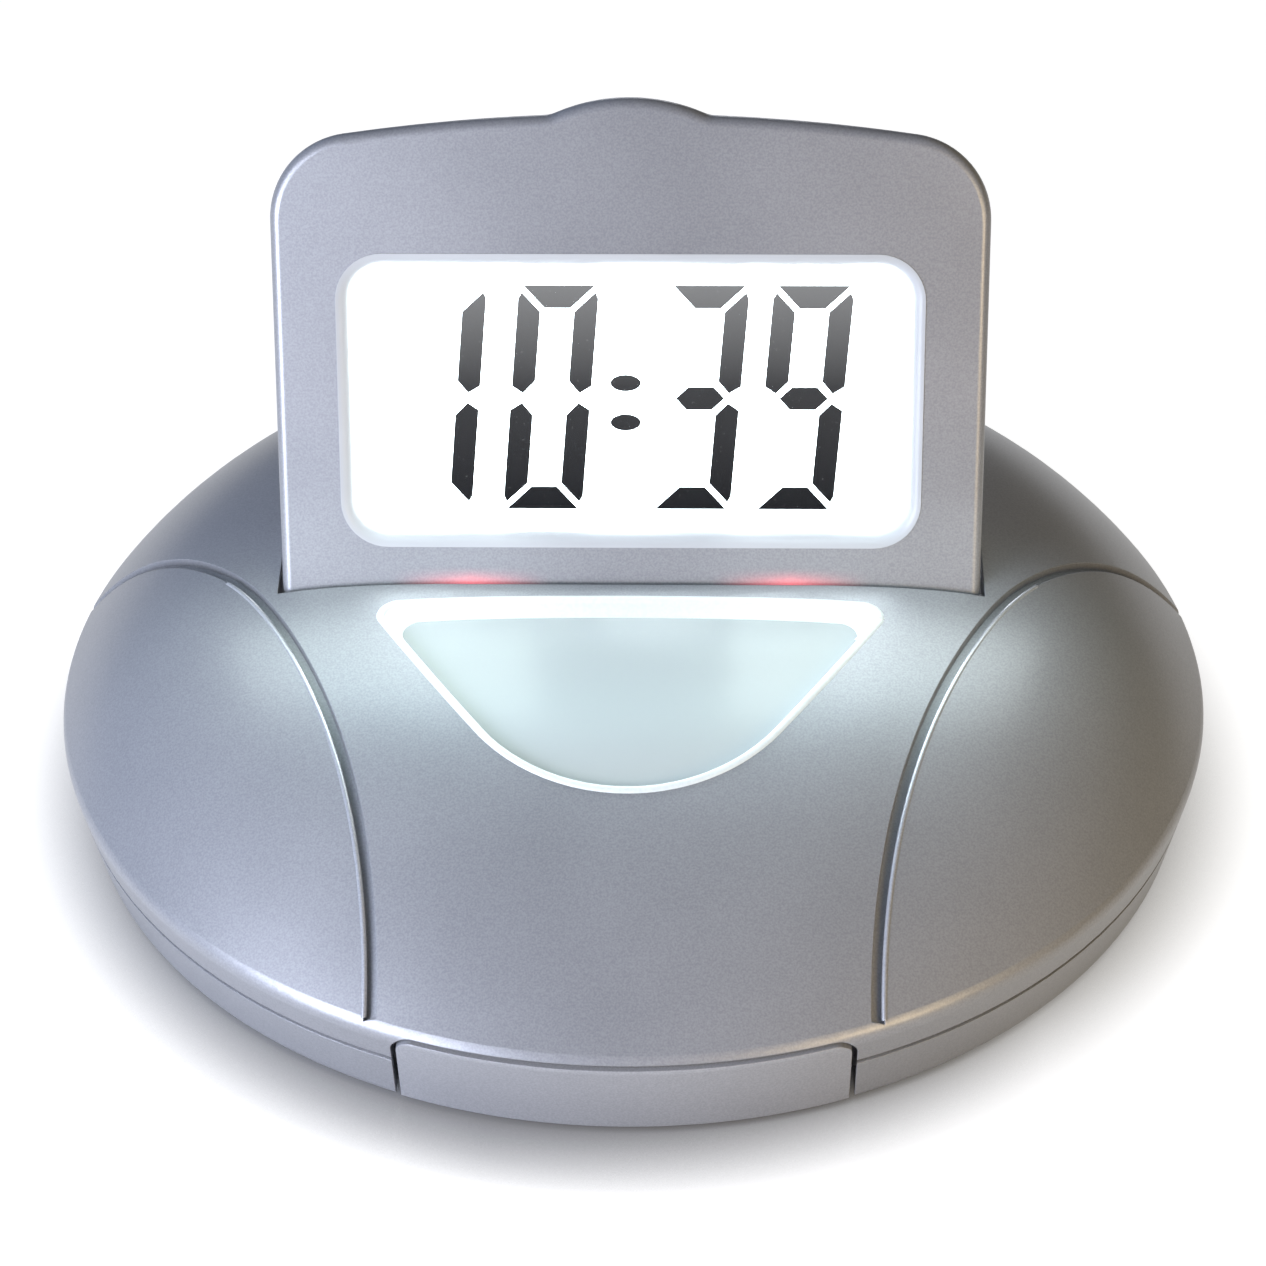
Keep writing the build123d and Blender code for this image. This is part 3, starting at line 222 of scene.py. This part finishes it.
def makeFloor(look):
    mesh = bpy.data.meshes.new("paleFloor")
    half = look["half"]
    corners = [(-half, -half, 0), (half, -half, 0), (half, half, 0), (-half, half, 0)]
    mesh.from_pydata(corners, [], [(0, 1, 2, 3)])
    floor = bpy.data.objects.new("paleFloor", mesh)
    scene.collection.objects.link(floor)
    finish, tree, shader = startFinish("paleFloor")
    nearby = addNode(tree, "AmbientOcclusion", {"Distance": look["shadeReach"]}, samples=look["shadeSamples"])
    across = calculate(tree, "SUBTRACT", alongAxis(tree, objectPlace(tree), "X"), look["shadeMiddle"])
    across = calculate(tree, "ABSOLUTE", across)
    depth = remap(tree, across, 0, look["shadeSide"], *look["shadeDepth"])
    # painted shadow: the floor's glow is darkened where the object is near
    shade = calculate(tree, "POWER", nearby.outputs["AO"], depth)
    glow = calculate(tree, "MULTIPLY", shade, look["cameraGlow"])
    connect(tree, shader, {
        "Base Color": (*look["colour"], 1),
        "Roughness": look["roughness"],
        "Specular IOR Level": 0.0,
        "Emission Color": (1, 1, 1, 1),
        "Emission Strength": calculate(tree, "MULTIPLY", seenDirectly(tree, look["mirroredShare"]), glow),
    })
    mesh.materials.append(finish)


makeFloor(floorLook)

# light: cool soft boxes on the front left, a dim warm one right, a faint one behind, and the screen's own
studioLights = {
    "coolLeft": {"place": (-0.145, -0.14, 0.12), "size": (0.10, 0.10), "spread": 180, "power": 0.34,
                 "colour": (0.80, 0.85, 1.0)},
    "coolLow": {"place": (-0.16, -0.20, 0.07), "size": (0.10, 0.10), "spread": 180, "power": 0.46,
                "colour": (0.76, 0.82, 1.0)},
    "warmRight": {"place": (0.13, -0.17, 0.09), "size": (0.08, 0.08), "spread": 180, "power": 0.155,
                  "colour": (1.0, 0.76, 0.44)},
    "softBehind": {"place": (0, 0.17, 0.075), "size": (0.06, 0.06), "spread": 54, "power": 0.007,
                   "colour": (0.92, 0.95, 1.0)},
}
screenLights = {
    "screenLeft": {"place": (-0.029, -0.006, 0.040), "size": (0.038, 0.012), "spread": 130, "power": 0.0018,
                   "colour": (0.85, 1.0, 0.95)},
    "screenRight": {"place": (0.029, -0.006, 0.040), "size": (0.038, 0.012), "spread": 130, "power": 0.0020,
                    "colour": (0.88, 1.0, 0.98)},
    "screenMiddle": {"place": (0, -0.006, 0.054), "size": (0.084, 0.010), "spread": 130, "power": 0.0022,
                     "colour": (0.60, 0.94, 1.0)},
}
screenTilt = radians(26)  # the screen shines down and forward, away from the display
roomLook = {
    "left": (0.125, 0.17, 0.27),
    "right": (0.115, 0.098, 0.062),
    "turn": (0.25, 0.75),
    "white": (0.97, 0.97, 0.97),
    "mirroredShare": 0.04,
}


def makeLamp(name, look):
    lamp = bpy.data.lights.new(name, "AREA")
    lamp.shape = "RECTANGLE"
    lamp.size, lamp.size_y = look["size"]
    lamp.spread = radians(look["spread"])
    lamp.energy = look["power"]
    lamp.color = look["colour"]
    holder = bpy.data.objects.new(name, lamp)
    holder.location = look["place"]
    scene.collection.objects.link(holder)
    return holder


def makeRoom(look):  # dim room around the object, white where it is seen directly
    world = bpy.data.worlds.new("paleRoom")
    world.use_nodes = True
    tree = world.node_tree
    tree.nodes.clear()
    across = alongAxis(tree, addNode(tree, "TexCoord").outputs["Generated"], "X")
    dim = twoTones(tree, remap(tree, across, -1, 1, 0, 1), look["left"], look["right"], look["turn"])
    colour = mixColours(tree, seenDirectly(tree, look["mirroredShare"]), dim, look["white"])
    sky = addNode(tree, "Background", {"Color": colour})
    addNode(tree, "OutputWorld", {"Surface": sky.outputs["Background"]})
    scene.world = world


for lampName, lampValues in studioLights.items():
    studioLamp = makeLamp(lampName, lampValues)
    studioLamp.rotation_euler = studioLamp.location.to_track_quat("Z", "Y").to_euler()  # faces the object
for lampName, lampValues in screenLights.items():
    makeLamp(lampName, lampValues).rotation_euler = (-screenTilt, 0, 0)
makeRoom(roomLook)
print("floor and light set")

# satin silver plastic of every shell: fine flake, faint cloudiness, softened edges
silverLook = {
    "dark": (0.300, 0.306, 0.324),
    "pale": (0.355, 0.361, 0.379),
    "flakeDark": (0.78, 0.78, 0.80),
    "flakePale": (1.16, 1.16, 1.15),
    "flakeSpan": (0.32, 0.68),
    "cloudScale": 28.0,
    "flakeScale": 5200.0,
    "flakeMix": 0.55,
    "metallic": 0.30,
    "roughness": (0.36, 0.48),
    "coat": 0.7,
    "coatRoughness": 0.33,
    "edgeRadius": 0.15 * mm,
    "edgeSamples": 6,
    "peelScale": 1900.0,
    "peelDepth": 0.02 * mm,
    "peelStrength": 0.16,
}
# snooze bar: the same silver plastic in paler tones, painted light from the front and below
barPaintedLightLook = {**silverLook, "dark": (0.365, 0.372, 0.394), "pale": (0.425, 0.432, 0.454)}
# painted red glow: red lamp light that spills on the foot of the display, painted on the bezel as emission
spillLook = {
    "colour": (1.0, 0.10, 0.13),
    "strength": 0.8,
    "lampRadius": 1.2 * mm,
    "halfWidth": 8.0 * mm,
    "height": 1.3 * mm,
    "sideFade": 1.6,
    "upwardFade": 2.0,
}


def silverPlastic(name, look, spill=None):
    finish, tree, shader = startFinish(name)
    place = objectPlace(tree)
    cloud = grain(tree, place, look["cloudScale"], richDetail)
    flake = grain(tree, place, look["flakeScale"], smoothDetail)
    tone = twoTones(tree, cloud, look["dark"], look["pale"])
    speck = twoTones(tree, flake, look["flakeDark"], look["flakePale"], look["flakeSpan"])
    peel = grain(tree, place, look["peelScale"])
    soft = addNode(tree, "Bevel", {"Radius": look["edgeRadius"]}, samples=look["edgeSamples"])
    connect(tree, shader, {
        "Base Color": mixColours(tree, look["flakeMix"], tone, speck, "MULTIPLY"),
        "Metallic": look["metallic"],
        "Roughness": remap(tree, cloud, *noiseSpan, *look["roughness"]),
        "Coat Weight": look["coat"],
        "Coat Roughness": look["coatRoughness"],
        "Normal": relief(tree, peel, look["peelStrength"], look["peelDepth"], soft.outputs["Normal"]),
    })
    if spill:
        addSpill(tree, shader, place, spill)
    return finish


# the red spill is a painted glow on the bezel, not light from the lamps
def addSpill(tree, shader, place, look):  # strongest beside each lamp, just above the roof
    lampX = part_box("indicator_leds")[1].x - look["lampRadius"]
    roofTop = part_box("top_shell")[1].z
    beside = calculate(tree, "ABSOLUTE", alongAxis(tree, place, "X"))
    beside = calculate(tree, "ABSOLUTE", calculate(tree, "SUBTRACT", beside, lampX))
    across = remap(tree, beside, 0, look["halfWidth"], 1, 0)
    upward = remap(tree, alongAxis(tree, place, "Z"), roofTop, roofTop + look["height"], 1, 0)
    across = calculate(tree, "POWER", across, look["sideFade"])
    upward = calculate(tree, "POWER", upward, look["upwardFade"])
    amount = calculate(tree, "MULTIPLY", across, upward)
    connect(tree, shader, {
        "Emission Color": (*look["colour"], 1),
        "Emission Strength": calculate(tree, "MULTIPLY", amount, look["strength"]),
    })


# plain moulded finishes: two tones, a grain, a roughness range and a small relief
def mouldedFinish(name, look):
    finish, tree, shader = startFinish(name)
    place = objectPlace(tree, look.get("stretch"))
    tint = grain(tree, place, look["tintScale"], richDetail)
    fine = grain(tree, place, look["grainScale"])
    connect(tree, shader, {
        "Base Color": twoTones(tree, tint, look["dark"], look["pale"]),
        "Metallic": look.get("metallic", 0.0),
        "Roughness": remap(tree, fine, *noiseSpan, *look["roughness"]),
        "Normal": relief(tree, fine, look["strength"], look["depth"]),
    })
    return finish


keyLook = {
    "dark": (0.150, 0.155, 0.170), "pale": (0.185, 0.190, 0.205), "tintScale": 300.0, "grainScale": 4200.0,
    "roughness": (0.55, 0.75), "strength": 0.3, "depth": 0.02 * mm,
}
guideLook = {
    "dark": (0.80, 0.81, 0.82), "pale": (0.90, 0.90, 0.90), "tintScale": 90.0, "grainScale": 2500.0,
    "roughness": (0.25, 0.45), "strength": 0.2, "depth": 0.02 * mm,
}
chipLook = {
    "dark": (0.010, 0.010, 0.011), "pale": (0.022, 0.022, 0.024), "tintScale": 400.0, "grainScale": 5000.0,
    "roughness": (0.45, 0.70), "strength": 0.4, "depth": 0.02 * mm,
}
socketLook = {
    "dark": (0.62, 0.60, 0.54), "pale": (0.72, 0.70, 0.65), "tintScale": 250.0, "grainScale": 3000.0,
    "roughness": (0.30, 0.45), "strength": 0.2, "depth": 0.02 * mm,
}
steelLook = {
    "dark": (0.42, 0.42, 0.43), "pale": (0.62, 0.62, 0.63), "tintScale": 700.0, "grainScale": 2400.0,
    "stretch": (1, 1, 6), "metallic": 1.0, "roughness": (0.22, 0.42), "strength": 0.25, "depth": 0.01 * mm,
}
nickelLook = {
    "dark": (0.55, 0.54, 0.51), "pale": (0.72, 0.71, 0.67), "tintScale": 500.0, "grainScale": 3200.0,
    "stretch": (5, 1, 1), "metallic": 1.0, "roughness": (0.20, 0.36), "strength": 0.2, "depth": 0.01 * mm,
}
jacketLook = {
    "dark": (0.012, 0.013, 0.016), "pale": (0.020, 0.022, 0.026), "tintScale": 200.0, "grainScale": 2600.0,
    "metallic": 0.3, "roughness": (0.25, 0.38), "strength": 0.1, "depth": 0.01 * mm,
}
brassLook = {
    "dark": (0.42, 0.27, 0.08), "pale": (0.62, 0.44, 0.18), "tintScale": 600.0, "grainScale": 2200.0,
    "stretch": (1, 8, 1), "metallic": 1.0, "roughness": (0.25, 0.42), "strength": 0.3, "depth": 0.01 * mm,
}
rubberLook = {
    "dark": (0.012, 0.012, 0.012), "pale": (0.030, 0.030, 0.030), "tintScale": 350.0, "grainScale": 3600.0,
    "roughness": (0.65, 0.85), "strength": 0.5, "depth": 0.03 * mm,
}
sheathLook = {
    "dark": (0.030, 0.030, 0.034), "pale": (0.048, 0.048, 0.053), "tintScale": 300.0, "grainScale": 3000.0,
    "roughness": (0.45, 0.60), "strength": 0.2, "depth": 0.02 * mm,
}

# digits: dark segments with a painted glow that pales towards the top, with specks of dust that glow too
digitLook = {
    "tones": [(0.0, (0.004, 0.004, 0.004)), (0.55, (0.050, 0.050, 0.051)), (1.0, (0.255, 0.256, 0.258))],
    "base": (0.012, 0.012, 0.013), "roughness": 0.5,
    "dust": (0.8, 0.8, 0.8), "dustScale": 2600.0, "dustRoughness": 0.6, "dustSpan": (0.66, 0.74),
    "dustMix": 0.10,
}


def digitInkAndGlow(look):
    finish, tree, shader = startFinish("digitInkAndGlow")
    place = objectPlace(tree)
    low, high = [corner.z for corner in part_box("lcd_digits")]
    tone = shades(tree, remap(tree, alongAxis(tree, place, "Z"), low, high, 0, 1), look["tones"])
    dust = grain(tree, place, look["dustScale"], richDetail, look["dustRoughness"])
    dust = remap(tree, dust, *look["dustSpan"], 0, look["dustMix"])
    connect(tree, shader, {
        "Base Color": (*look["base"], 1),
        "Roughness": look["roughness"],
        "Specular IOR Level": 0.0,
        "Emission Color": mixColours(tree, dust, tone, look["dust"]),
        "Emission Strength": 1.0,
    })
    return finish


# circuit boards: green mask over paler traces
boardLook = {
    "dark": (0.008, 0.070, 0.024), "pale": (0.014, 0.105, 0.036), "trace": (0.030, 0.180, 0.065),
    "pitch": 260.0, "traceWidth": 0.06, "traceOffset": 0.37, "traceMix": 0.8,
    "grainScale": 2600.0, "roughness": (0.22, 0.40), "strength": 0.5, "depth": 0.03 * mm,
}


def circuitBoard(look):
    finish, tree, shader = startFinish("circuitBoard")
    place = objectPlace(tree)
    fine = grain(tree, place, look["grainScale"])
    rows = addNode(tree, "TexBrick", {
        "Vector": place, "Scale": look["pitch"], "Mortar Size": look["traceWidth"], "Color1": (0, 0, 0, 1),
        "Color2": (0, 0, 0, 1), "Mortar": (1, 1, 1, 1),
    }, offset=look["traceOffset"])
    trace = calculate(tree, "MULTIPLY", rows.outputs["Fac"], look["traceMix"])
    mask = twoTones(tree, fine, look["dark"], look["pale"])
    connect(tree, shader, {
        "Base Color": mixColours(tree, trace, mask, look["trace"]),
        "Roughness": remap(tree, fine, *noiseSpan, *look["roughness"]),
        "Normal": relief(tree, trace, look["strength"], look["depth"]),
    })
    return finish


# lit white ground behind the digits, a little uneven
panelLook = {
    "colour": (0.88, 0.98, 1.0), "glow": 8.5, "glowSpan": (0.94, 1.04), "roughness": 0.25,
    "unevenScale": 45.0,
}


def litPanel(look):
    finish, tree, shader = startFinish("litPanel")
    uneven = grain(tree, objectPlace(tree), look["unevenScale"], smoothDetail)
    dim, bright = [share * look["glow"] for share in look["glowSpan"]]
    connect(tree, shader, {
        "Base Color": (*look["colour"], 1),
        "Roughness": look["roughness"],
        "Emission Color": (*look["colour"], 1),
        "Emission Strength": remap(tree, uneven, *noiseSpan, dim, bright),
    })
    return finish


# clear window: lets the panel through, with a sheen that grows at a slant
lensLook = {
    "tint": (0.985, 0.99, 0.995), "sheen": 0.012, "slantPower": 5.0, "roughness": (0.05, 0.15),
    "scuffScale": 900.0,
}


def clearLens(look):
    finish, tree, shader = startFinish("clearLens")
    tree.nodes.remove(shader)
    scuff = grain(tree, objectPlace(tree), look["scuffScale"], scuffDetail)
    through = addNode(tree, "BsdfTransparent", {"Color": (*look["tint"], 1)})
    roughness = remap(tree, scuff, *noiseSpan, *look["roughness"])
    gloss = addNode(tree, "BsdfAnisotropic", {"Roughness": roughness})
    slant = addNode(tree, "LayerWeight", {"Blend": 0.5}).outputs["Facing"]
    sheen = remap(tree, calculate(tree, "POWER", slant, look["slantPower"]), 0, 1, look["sheen"], 1)
    mixed = addNode(tree, "MixShader", {"Fac": sheen})
    feed(tree, mixed.inputs[1], through.outputs["BSDF"])
    feed(tree, mixed.inputs[2], gloss.outputs["BSDF"])
    output = next(node for node in tree.nodes if node.type == "OUTPUT_MATERIAL")
    feed(tree, output.inputs["Surface"], mixed.outputs["Shader"])
    return finish


# red lamps in the slot at the foot of the display
lampLook = {
    "deep": (0.35, 0.004, 0.008), "bright": (0.75, 0.02, 0.03), "tintScale": 900.0, "roughness": 0.15,
    "glow": 6.0, "glowColour": (1.0, 0.05, 0.07),
}


def redLamp(look):
    finish, tree, shader = startFinish("redLamp")
    tint = grain(tree, objectPlace(tree), look["tintScale"])
    connect(tree, shader, {
        "Base Color": twoTones(tree, tint, look["deep"], look["bright"]),
        "Roughness": look["roughness"],
        "Emission Color": (*look["glowColour"], 1),
        "Emission Strength": look["glow"],
    })
    return finish


finishes = {
    "silver": silverPlastic("satinSilver", silverLook),
    "bar": silverPlastic("satinSilverBarPaintedLight", barPaintedLightLook),
    "bezel": silverPlastic("satinSilverBezel", silverLook, spillLook),
    "key": mouldedFinish("greyKeyRubber", keyLook),
    "digit": digitInkAndGlow(digitLook),
    "guide": mouldedFinish("frostedGuide", guideLook),
    "board": circuitBoard(boardLook),
    "chip": mouldedFinish("blackMoulding", chipLook),
    "socket": mouldedFinish("whiteSocket", socketLook),
    "steel": mouldedFinish("platedSteel", steelLook),
    "nickel": mouldedFinish("nickelSheet", nickelLook),
    "jacket": mouldedFinish("cellJacket", jacketLook),
    "brass": mouldedFinish("turnedBrass", brassLook),
    "rubber": mouldedFinish("blackRubber", rubberLook),
    "sheath": mouldedFinish("greySheath", sheathLook),
    "panel": litPanel(panelLook),
    "lens": clearLens(lensLook),
    "lamp": redLamp(lampLook),
}
dressed = {
    "silver": ["base_shell", "top_shell", "display_back", "battery_door"],
    "bar": ["snooze_bar"],
    "bezel": ["display_bezel"],
    "key": ["time_button", "alarm_button", "hour_button", "minute_button"],
    "digit": ["lcd_digits"],
    "guide": ["light_guide"],
    "board": ["main_board", "snooze_board", "display_board"],
    "chip": ["control_chip", "set_switches", "snooze_switch", "buzzer", "mode_slider"],
    "socket": ["cable_socket", "display_socket", "backlight_leds"],
    "steel": ["board_screws", "case_screws", "display_screws", "hinge_pin", "hinge_tube", "motor_shaft",
              "motor_clip"],
    "nickel": ["battery_contacts", "vibration_motor", "mode_switch"],
    "jacket": ["battery_cells"],
    "brass": ["eccentric_weight"],
    "rubber": ["motor_sleeve", "rubber_feet", "lcd_connector"],
    "sheath": ["display_cable", "display_cable_upper"],
    "panel": ["lcd_panel"],
    "lens": ["window_lens"],
    "lamp": ["indicator_leds"],
}
for finishName, nodeNames in dressed.items():
    for nodeName in nodeNames:
        slots = frame["nodes"][nodeName].data.materials
        slots.clear()
        slots.append(finishes[finishName])
print("finishes made:", len(finishes), "on", sum(len(names) for names in dressed.values()), "nodes")

sharpAngle = radians(50)  # edges of the added pieces stay sharp past this


def addPiece(name, shape, finish, body):  # a smooth closed piece that moves with a body
    bmesh.ops.recalc_face_normals(shape, faces=shape.faces)
    for face in shape.faces:
        face.smooth = True
    mesh = bpy.data.meshes.new(name)
    shape.to_mesh(mesh)
    shape.free()
    mesh.set_sharp_from_angle(angle=sharpAngle)
    mesh.materials.append(finish)
    piece = bpy.data.objects.new(name, mesh)
    scene.collection.objects.link(piece)
    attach(piece, body)


# rim round the window with a painted glow of the screen's light: a soft rounded frame on the chamfer of the
# opening
rimLook = {
    "lensLap": 1.0 * mm,
    "corner": 3.2 * mm,
    "cornerSteps": 10,
    "start": -0.04 * mm,
    "reach": 1.32 * mm,
    "low": 2.65 * mm,
    "high": 4.28 * mm,
    "steps": 8,
    "outerDrop": 0.12 * mm,
    "footInset": 0.3 * mm,
    "dark": (0.32, 0.335, 0.36),
    "pale": (0.37, 0.385, 0.41),
    "tintScale": 60.0,
    "grainScale": 3000.0,
    "roughness": (0.3, 0.42),
    "strength": 0.12,
    "depth": 0.02 * mm,
    "glow": 0.24,
    "glowColour": (0.94, 0.97, 1.0),
}


def windowOutline(look, outward):  # rounded rectangle a little outside the window's edge
    half = reachAlong("window_lens", sideways)[1] - look["lensLap"]
    low, high = reachAlong("window_lens", faceUp)
    low, high = low + look["lensLap"], high - look["lensLap"]
    radius = look["corner"]
    points = []
    for index, (sideX, sideUp) in enumerate(((1, 1), (-1, 1), (-1, -1), (1, -1))):
        centreX = sideX * (half - radius)
        centreUp = high - radius if sideUp > 0 else low + radius
        for step in range(look["cornerSteps"] + 1):
            angle = (index + step / look["cornerSteps"]) * pi / 2
            reach = radius + outward
            points.append((centreX + reach * cos(angle), centreUp + reach * sin(angle)))
    return points


def rimSection(look):  # outward and towards the front, round the crown and back underneath
    section = []
    for step in range(look["steps"] + 1):
        angle = step / look["steps"] * pi / 2
        outward = look["start"] + (look["reach"] - look["start"]) * (1 - cos(angle))
        section.append((outward, look["low"] + (look["high"] - look["low"]) * sin(angle)))
    section.append((look["reach"], look["high"] - look["outerDrop"]))
    section.append((look["start"] + look["footInset"], look["low"]))
    return section


def joinRings(shape, rings, closed):  # skins each ring of points to the next
    for ring, following in zip(rings, rings[1:] + rings[:1] if closed else rings[1:]):
        for index in range(len(ring)):
            after = (index + 1) % len(ring)
            shape.faces.new((ring[index], ring[after], following[after], following[index]))


def makeRim(look):
    shape = bmesh.new()
    rings = []
    for outward, out in rimSection(look):
        rings.append([shape.verts.new(onDisplay(x, up, out)) for x, up in windowOutline(look, outward)])
    joinRings(shape, rings, True)
    finish, tree, shader = startFinish("litRim")
    place = objectPlace(tree)
    tint = grain(tree, place, look["tintScale"])
    fine = grain(tree, place, look["grainScale"])
    connect(tree, shader, {
        "Base Color": twoTones(tree, tint, look["dark"], look["pale"]),
        "Roughness": remap(tree, fine, *noiseSpan, *look["roughness"]),
        "Normal": relief(tree, fine, look["strength"], look["depth"]),
        "Emission Color": (*look["glowColour"], 1),
        "Emission Strength": look["glow"],
    })
    addPiece("window_rim", shape, finish, "display")


makeRim(rimLook)
print("window rim made")

weldReach = 0.001 * mm  # corners of the shell closer than this are one


def roofCopy():
    shape = bmesh.new()
    shape.from_mesh(frame["nodes"]["top_shell"].data)
    bmesh.ops.remove_doubles(shape, verts=shape.verts, dist=weldReach)
    shape.normal_update()
    shape.faces.index_update()
    shape.faces.ensure_lookup_table()
    return shape


def roofFace(shape, x, y):  # the face seen from straight above
    index = BVHTree.FromBMesh(shape).ray_cast(Vector((x, y, clearHeight)), down)[2]
    return shape.faces[index]


def bordering(patch):
    return {near for face in patch for side in face.edges for near in side.link_faces} - set(patch)


def smoothPatch(seeds, crease, barred=()):  # faces reached from the seeds without crossing a crease
    found, waiting = set(seeds), list(seeds)
    while waiting:
        face = waiting.pop()
        for other in bordering([face]):
            if other in found or other in barred or face.normal.angle(other.normal, 0) > crease:
                continue
            found.add(other)
            waiting.append(other)
    return found


def laidOver(shape, patch, lift, thick):  # keeps the patch alone, as a thin plate a hair above the shell
    spare = [face for face in shape.faces if face not in patch]
    bmesh.ops.delete(shape, geom=spare, context="FACES")
    shape.normal_update()
    for vertex in shape.verts:
        vertex.co += vertex.normal * lift
    bmesh.ops.solidify(shape, geom=shape.faces[:], thickness=thick)


def roofEdge(patch, barred):  # places and roof normals along the edge between a patch and the roof
    links, roof = {}, {}
    ordered = sorted(patch, key=lambda face: face.index)  # so that each run starts at the same corner
    for side in (side for face in ordered for side in face.edges):
        outer = next((near for near in side.link_faces if near not in barred), None)
        if outer is None:
            continue
        for vertex in side.verts:
            links.setdefault(vertex, []).append(side.other_vert(vertex))
            roof.setdefault(vertex, []).append(outer.normal.copy())
    chain, seen, following = [], set(), next(iter(links))
    while following:
        chain.append(following)
        seen.add(following)
        following = next((near for near in links[following] if near not in seen), None)
    normals = [sum(roof[vertex], Vector()).normalized() for vertex in chain]
    return [vertex.co.copy() for vertex in chain], normals


beadSink = 0.6  # how far a bead's middle lies under the roof, as a share of its radius


def addBead(shape, places, normals, radius, steps, closed):  # a fine round bead, more than half sunk
    rings = []
    for index, (place, normal) in enumerate(zip(places, normals)):
        before = places[index - 1] if closed or index else place
        after = places[(index + 1) % len(places)] if closed or index + 1 < len(places) else place
        beside = (after - before).cross(normal).normalized()
        ring = []
        for step in range(steps):
            angle = 2 * pi * step / steps
            spot = place + beside * radius * cos(angle) + normal * radius * (sin(angle) - beadSink)
            ring.append(shape.verts.new(spot))
        rings.append(ring)
    joinRings(shape, rings, closed)
    if not closed:
        shape.faces.new(rings[0])
        shape.faces.new(rings[-1])


# shield pocket: a frosted plate on its floor, whose pale cyan, paler towards the foot, is painted screen
# light, and a pale edge round its wall with a painted glow, both on the shell's own faces
shieldLook = {
    "inside": (0, -14 * mm),
    "crease": radians(9),
    "lift": 0.03 * mm,
    "thick": 0.12 * mm,
    "rearY": -8 * mm,
    "footY": -27 * mm,
    "rear": (0.31, 0.345, 0.345),
    "foot": (0.48, 0.525, 0.52),
    "grainScale": 3200.0,
    "roughness": (0.42, 0.55),
    "strength": 0.15,
    "depth": 0.02 * mm,
    "coat": 1.0,
    "coatRoughness": 0.24,
}
# the edge's pale tones and glow are painted light from the screen
shieldEdgeLook = {
    "bead": 0.48 * mm,
    "beadSteps": 10,
    "dark": (0.46, 0.50, 0.51),
    "pale": (0.52, 0.56, 0.57),
    "grainScale": 2600.0,
    "roughness": (0.30, 0.45),
    "glow": 0.36,
    "glowColour": (0.90, 0.99, 1.0),
}


def frostedShieldPaintedLight(look):
    finish, tree, shader = startFinish("frostedShieldPaintedLight")
    place = objectPlace(tree)
    along = remap(tree, alongAxis(tree, place, "Y"), look["rearY"], look["footY"], 0, 1)
    fine = grain(tree, place, look["grainScale"])
    connect(tree, shader, {
        "Base Color": mixColours(tree, along, look["rear"], look["foot"]),
        "Roughness": remap(tree, fine, *noiseSpan, *look["roughness"]),
        "Coat Weight": look["coat"],
        "Coat Roughness": look["coatRoughness"],
        "Normal": relief(tree, fine, look["strength"], look["depth"]),
    })
    return finish


def litShieldEdge(look):
    finish, tree, shader = startFinish("litShieldEdge")
    fine = grain(tree, objectPlace(tree), look["grainScale"])
    connect(tree, shader, {
        "Base Color": twoTones(tree, fine, look["dark"], look["pale"]),
        "Roughness": remap(tree, fine, *noiseSpan, *look["roughness"]),
        "Emission Color": (*look["glowColour"], 1),
        "Emission Strength": look["glow"],
    })
    return finish


def makeShield(look, edgeLook):
    shape = roofCopy()
    floor = smoothPatch([roofFace(shape, *look["inside"])], look["crease"])
    laidOver(shape, floor, look["lift"], look["thick"])
    addPiece("shield_inlay", shape, frostedShieldPaintedLight(look), "base")
    shape = roofCopy()
    floor = smoothPatch([roofFace(shape, *look["inside"])], look["crease"])
    wall = smoothPatch(bordering(floor), look["crease"], floor)
    print("shield faces:", len(floor), "on the floor,", len(wall), "on the wall")
    places, normals = roofEdge(wall, wall | floor)
    laidOver(shape, wall, look["lift"], look["thick"])
    addBead(shape, places, normals, edgeLook["bead"], edgeLook["beadSteps"], True)
    addPiece("shield_edge", shape, litShieldEdge(edgeLook), "base")


makeShield(shieldLook, shieldEdgeLook)
print("shield made")

# wing grooves: a fine polished bead along the wing side of each, where the screen's light catches it, in
# paler tones that paint its highlight
lipLook = {
    "arcs": [  # the right groove's middle line: centre, radius, first and last angle
        ((97.5 * mm, -46.2 * mm), 74.5 * mm, 180.2, 147.2),
        ((67.1 * mm, -26.6 * mm), 38.3 * mm, 146.4, 137),
    ],
    "arcSteps": 40,
    "edge": 0.62 * mm,
    "beyond": 0.3 * mm,
    "bead": 0.27 * mm,
    "beadSteps": 8,
    # paler tones of the silver: a painted highlight
    "finish": {
        **silverLook, "dark": (0.54, 0.55, 0.58), "pale": (0.60, 0.61, 0.64), "metallic": 0.45,
        "roughness": (0.2, 0.28),
    },
}


def makeLips(look):
    finish = silverPlastic("polishedLipPaintedHighlight", look["finish"])
    roof = roofCopy()
    tree = BVHTree.FromBMesh(roof)
    roof.free()
    for name, hand in (("groove_lip_left", -1), ("groove_lip_right", 1)):
        places, normals = [], []
        for (centreX, centreY), radius, first, last in look["arcs"]:
            for step in range(look["arcSteps"] + 1):
                angle = radians(first + (last - first) * step / look["arcSteps"])
                out = Vector((hand * cos(angle), sin(angle), 0))
                edge = Vector((hand * centreX, centreY, clearHeight)) + out * (radius - look["edge"])
                lean = out * look["beyond"]  # the roof is met just past the groove's edge
                spot, normal = tree.ray_cast(edge - lean, down)[:2]
                places.append(spot + lean - Vector((0, 0, lean.dot(normal) / normal.z)))
                normals.append(normal)
        shape = bmesh.new()
        addBead(shape, places, normals, look["bead"], look["beadSteps"], False)
        addPiece(name, shape, finish, "base")


makeLips(lipLook)
print("groove lips made")
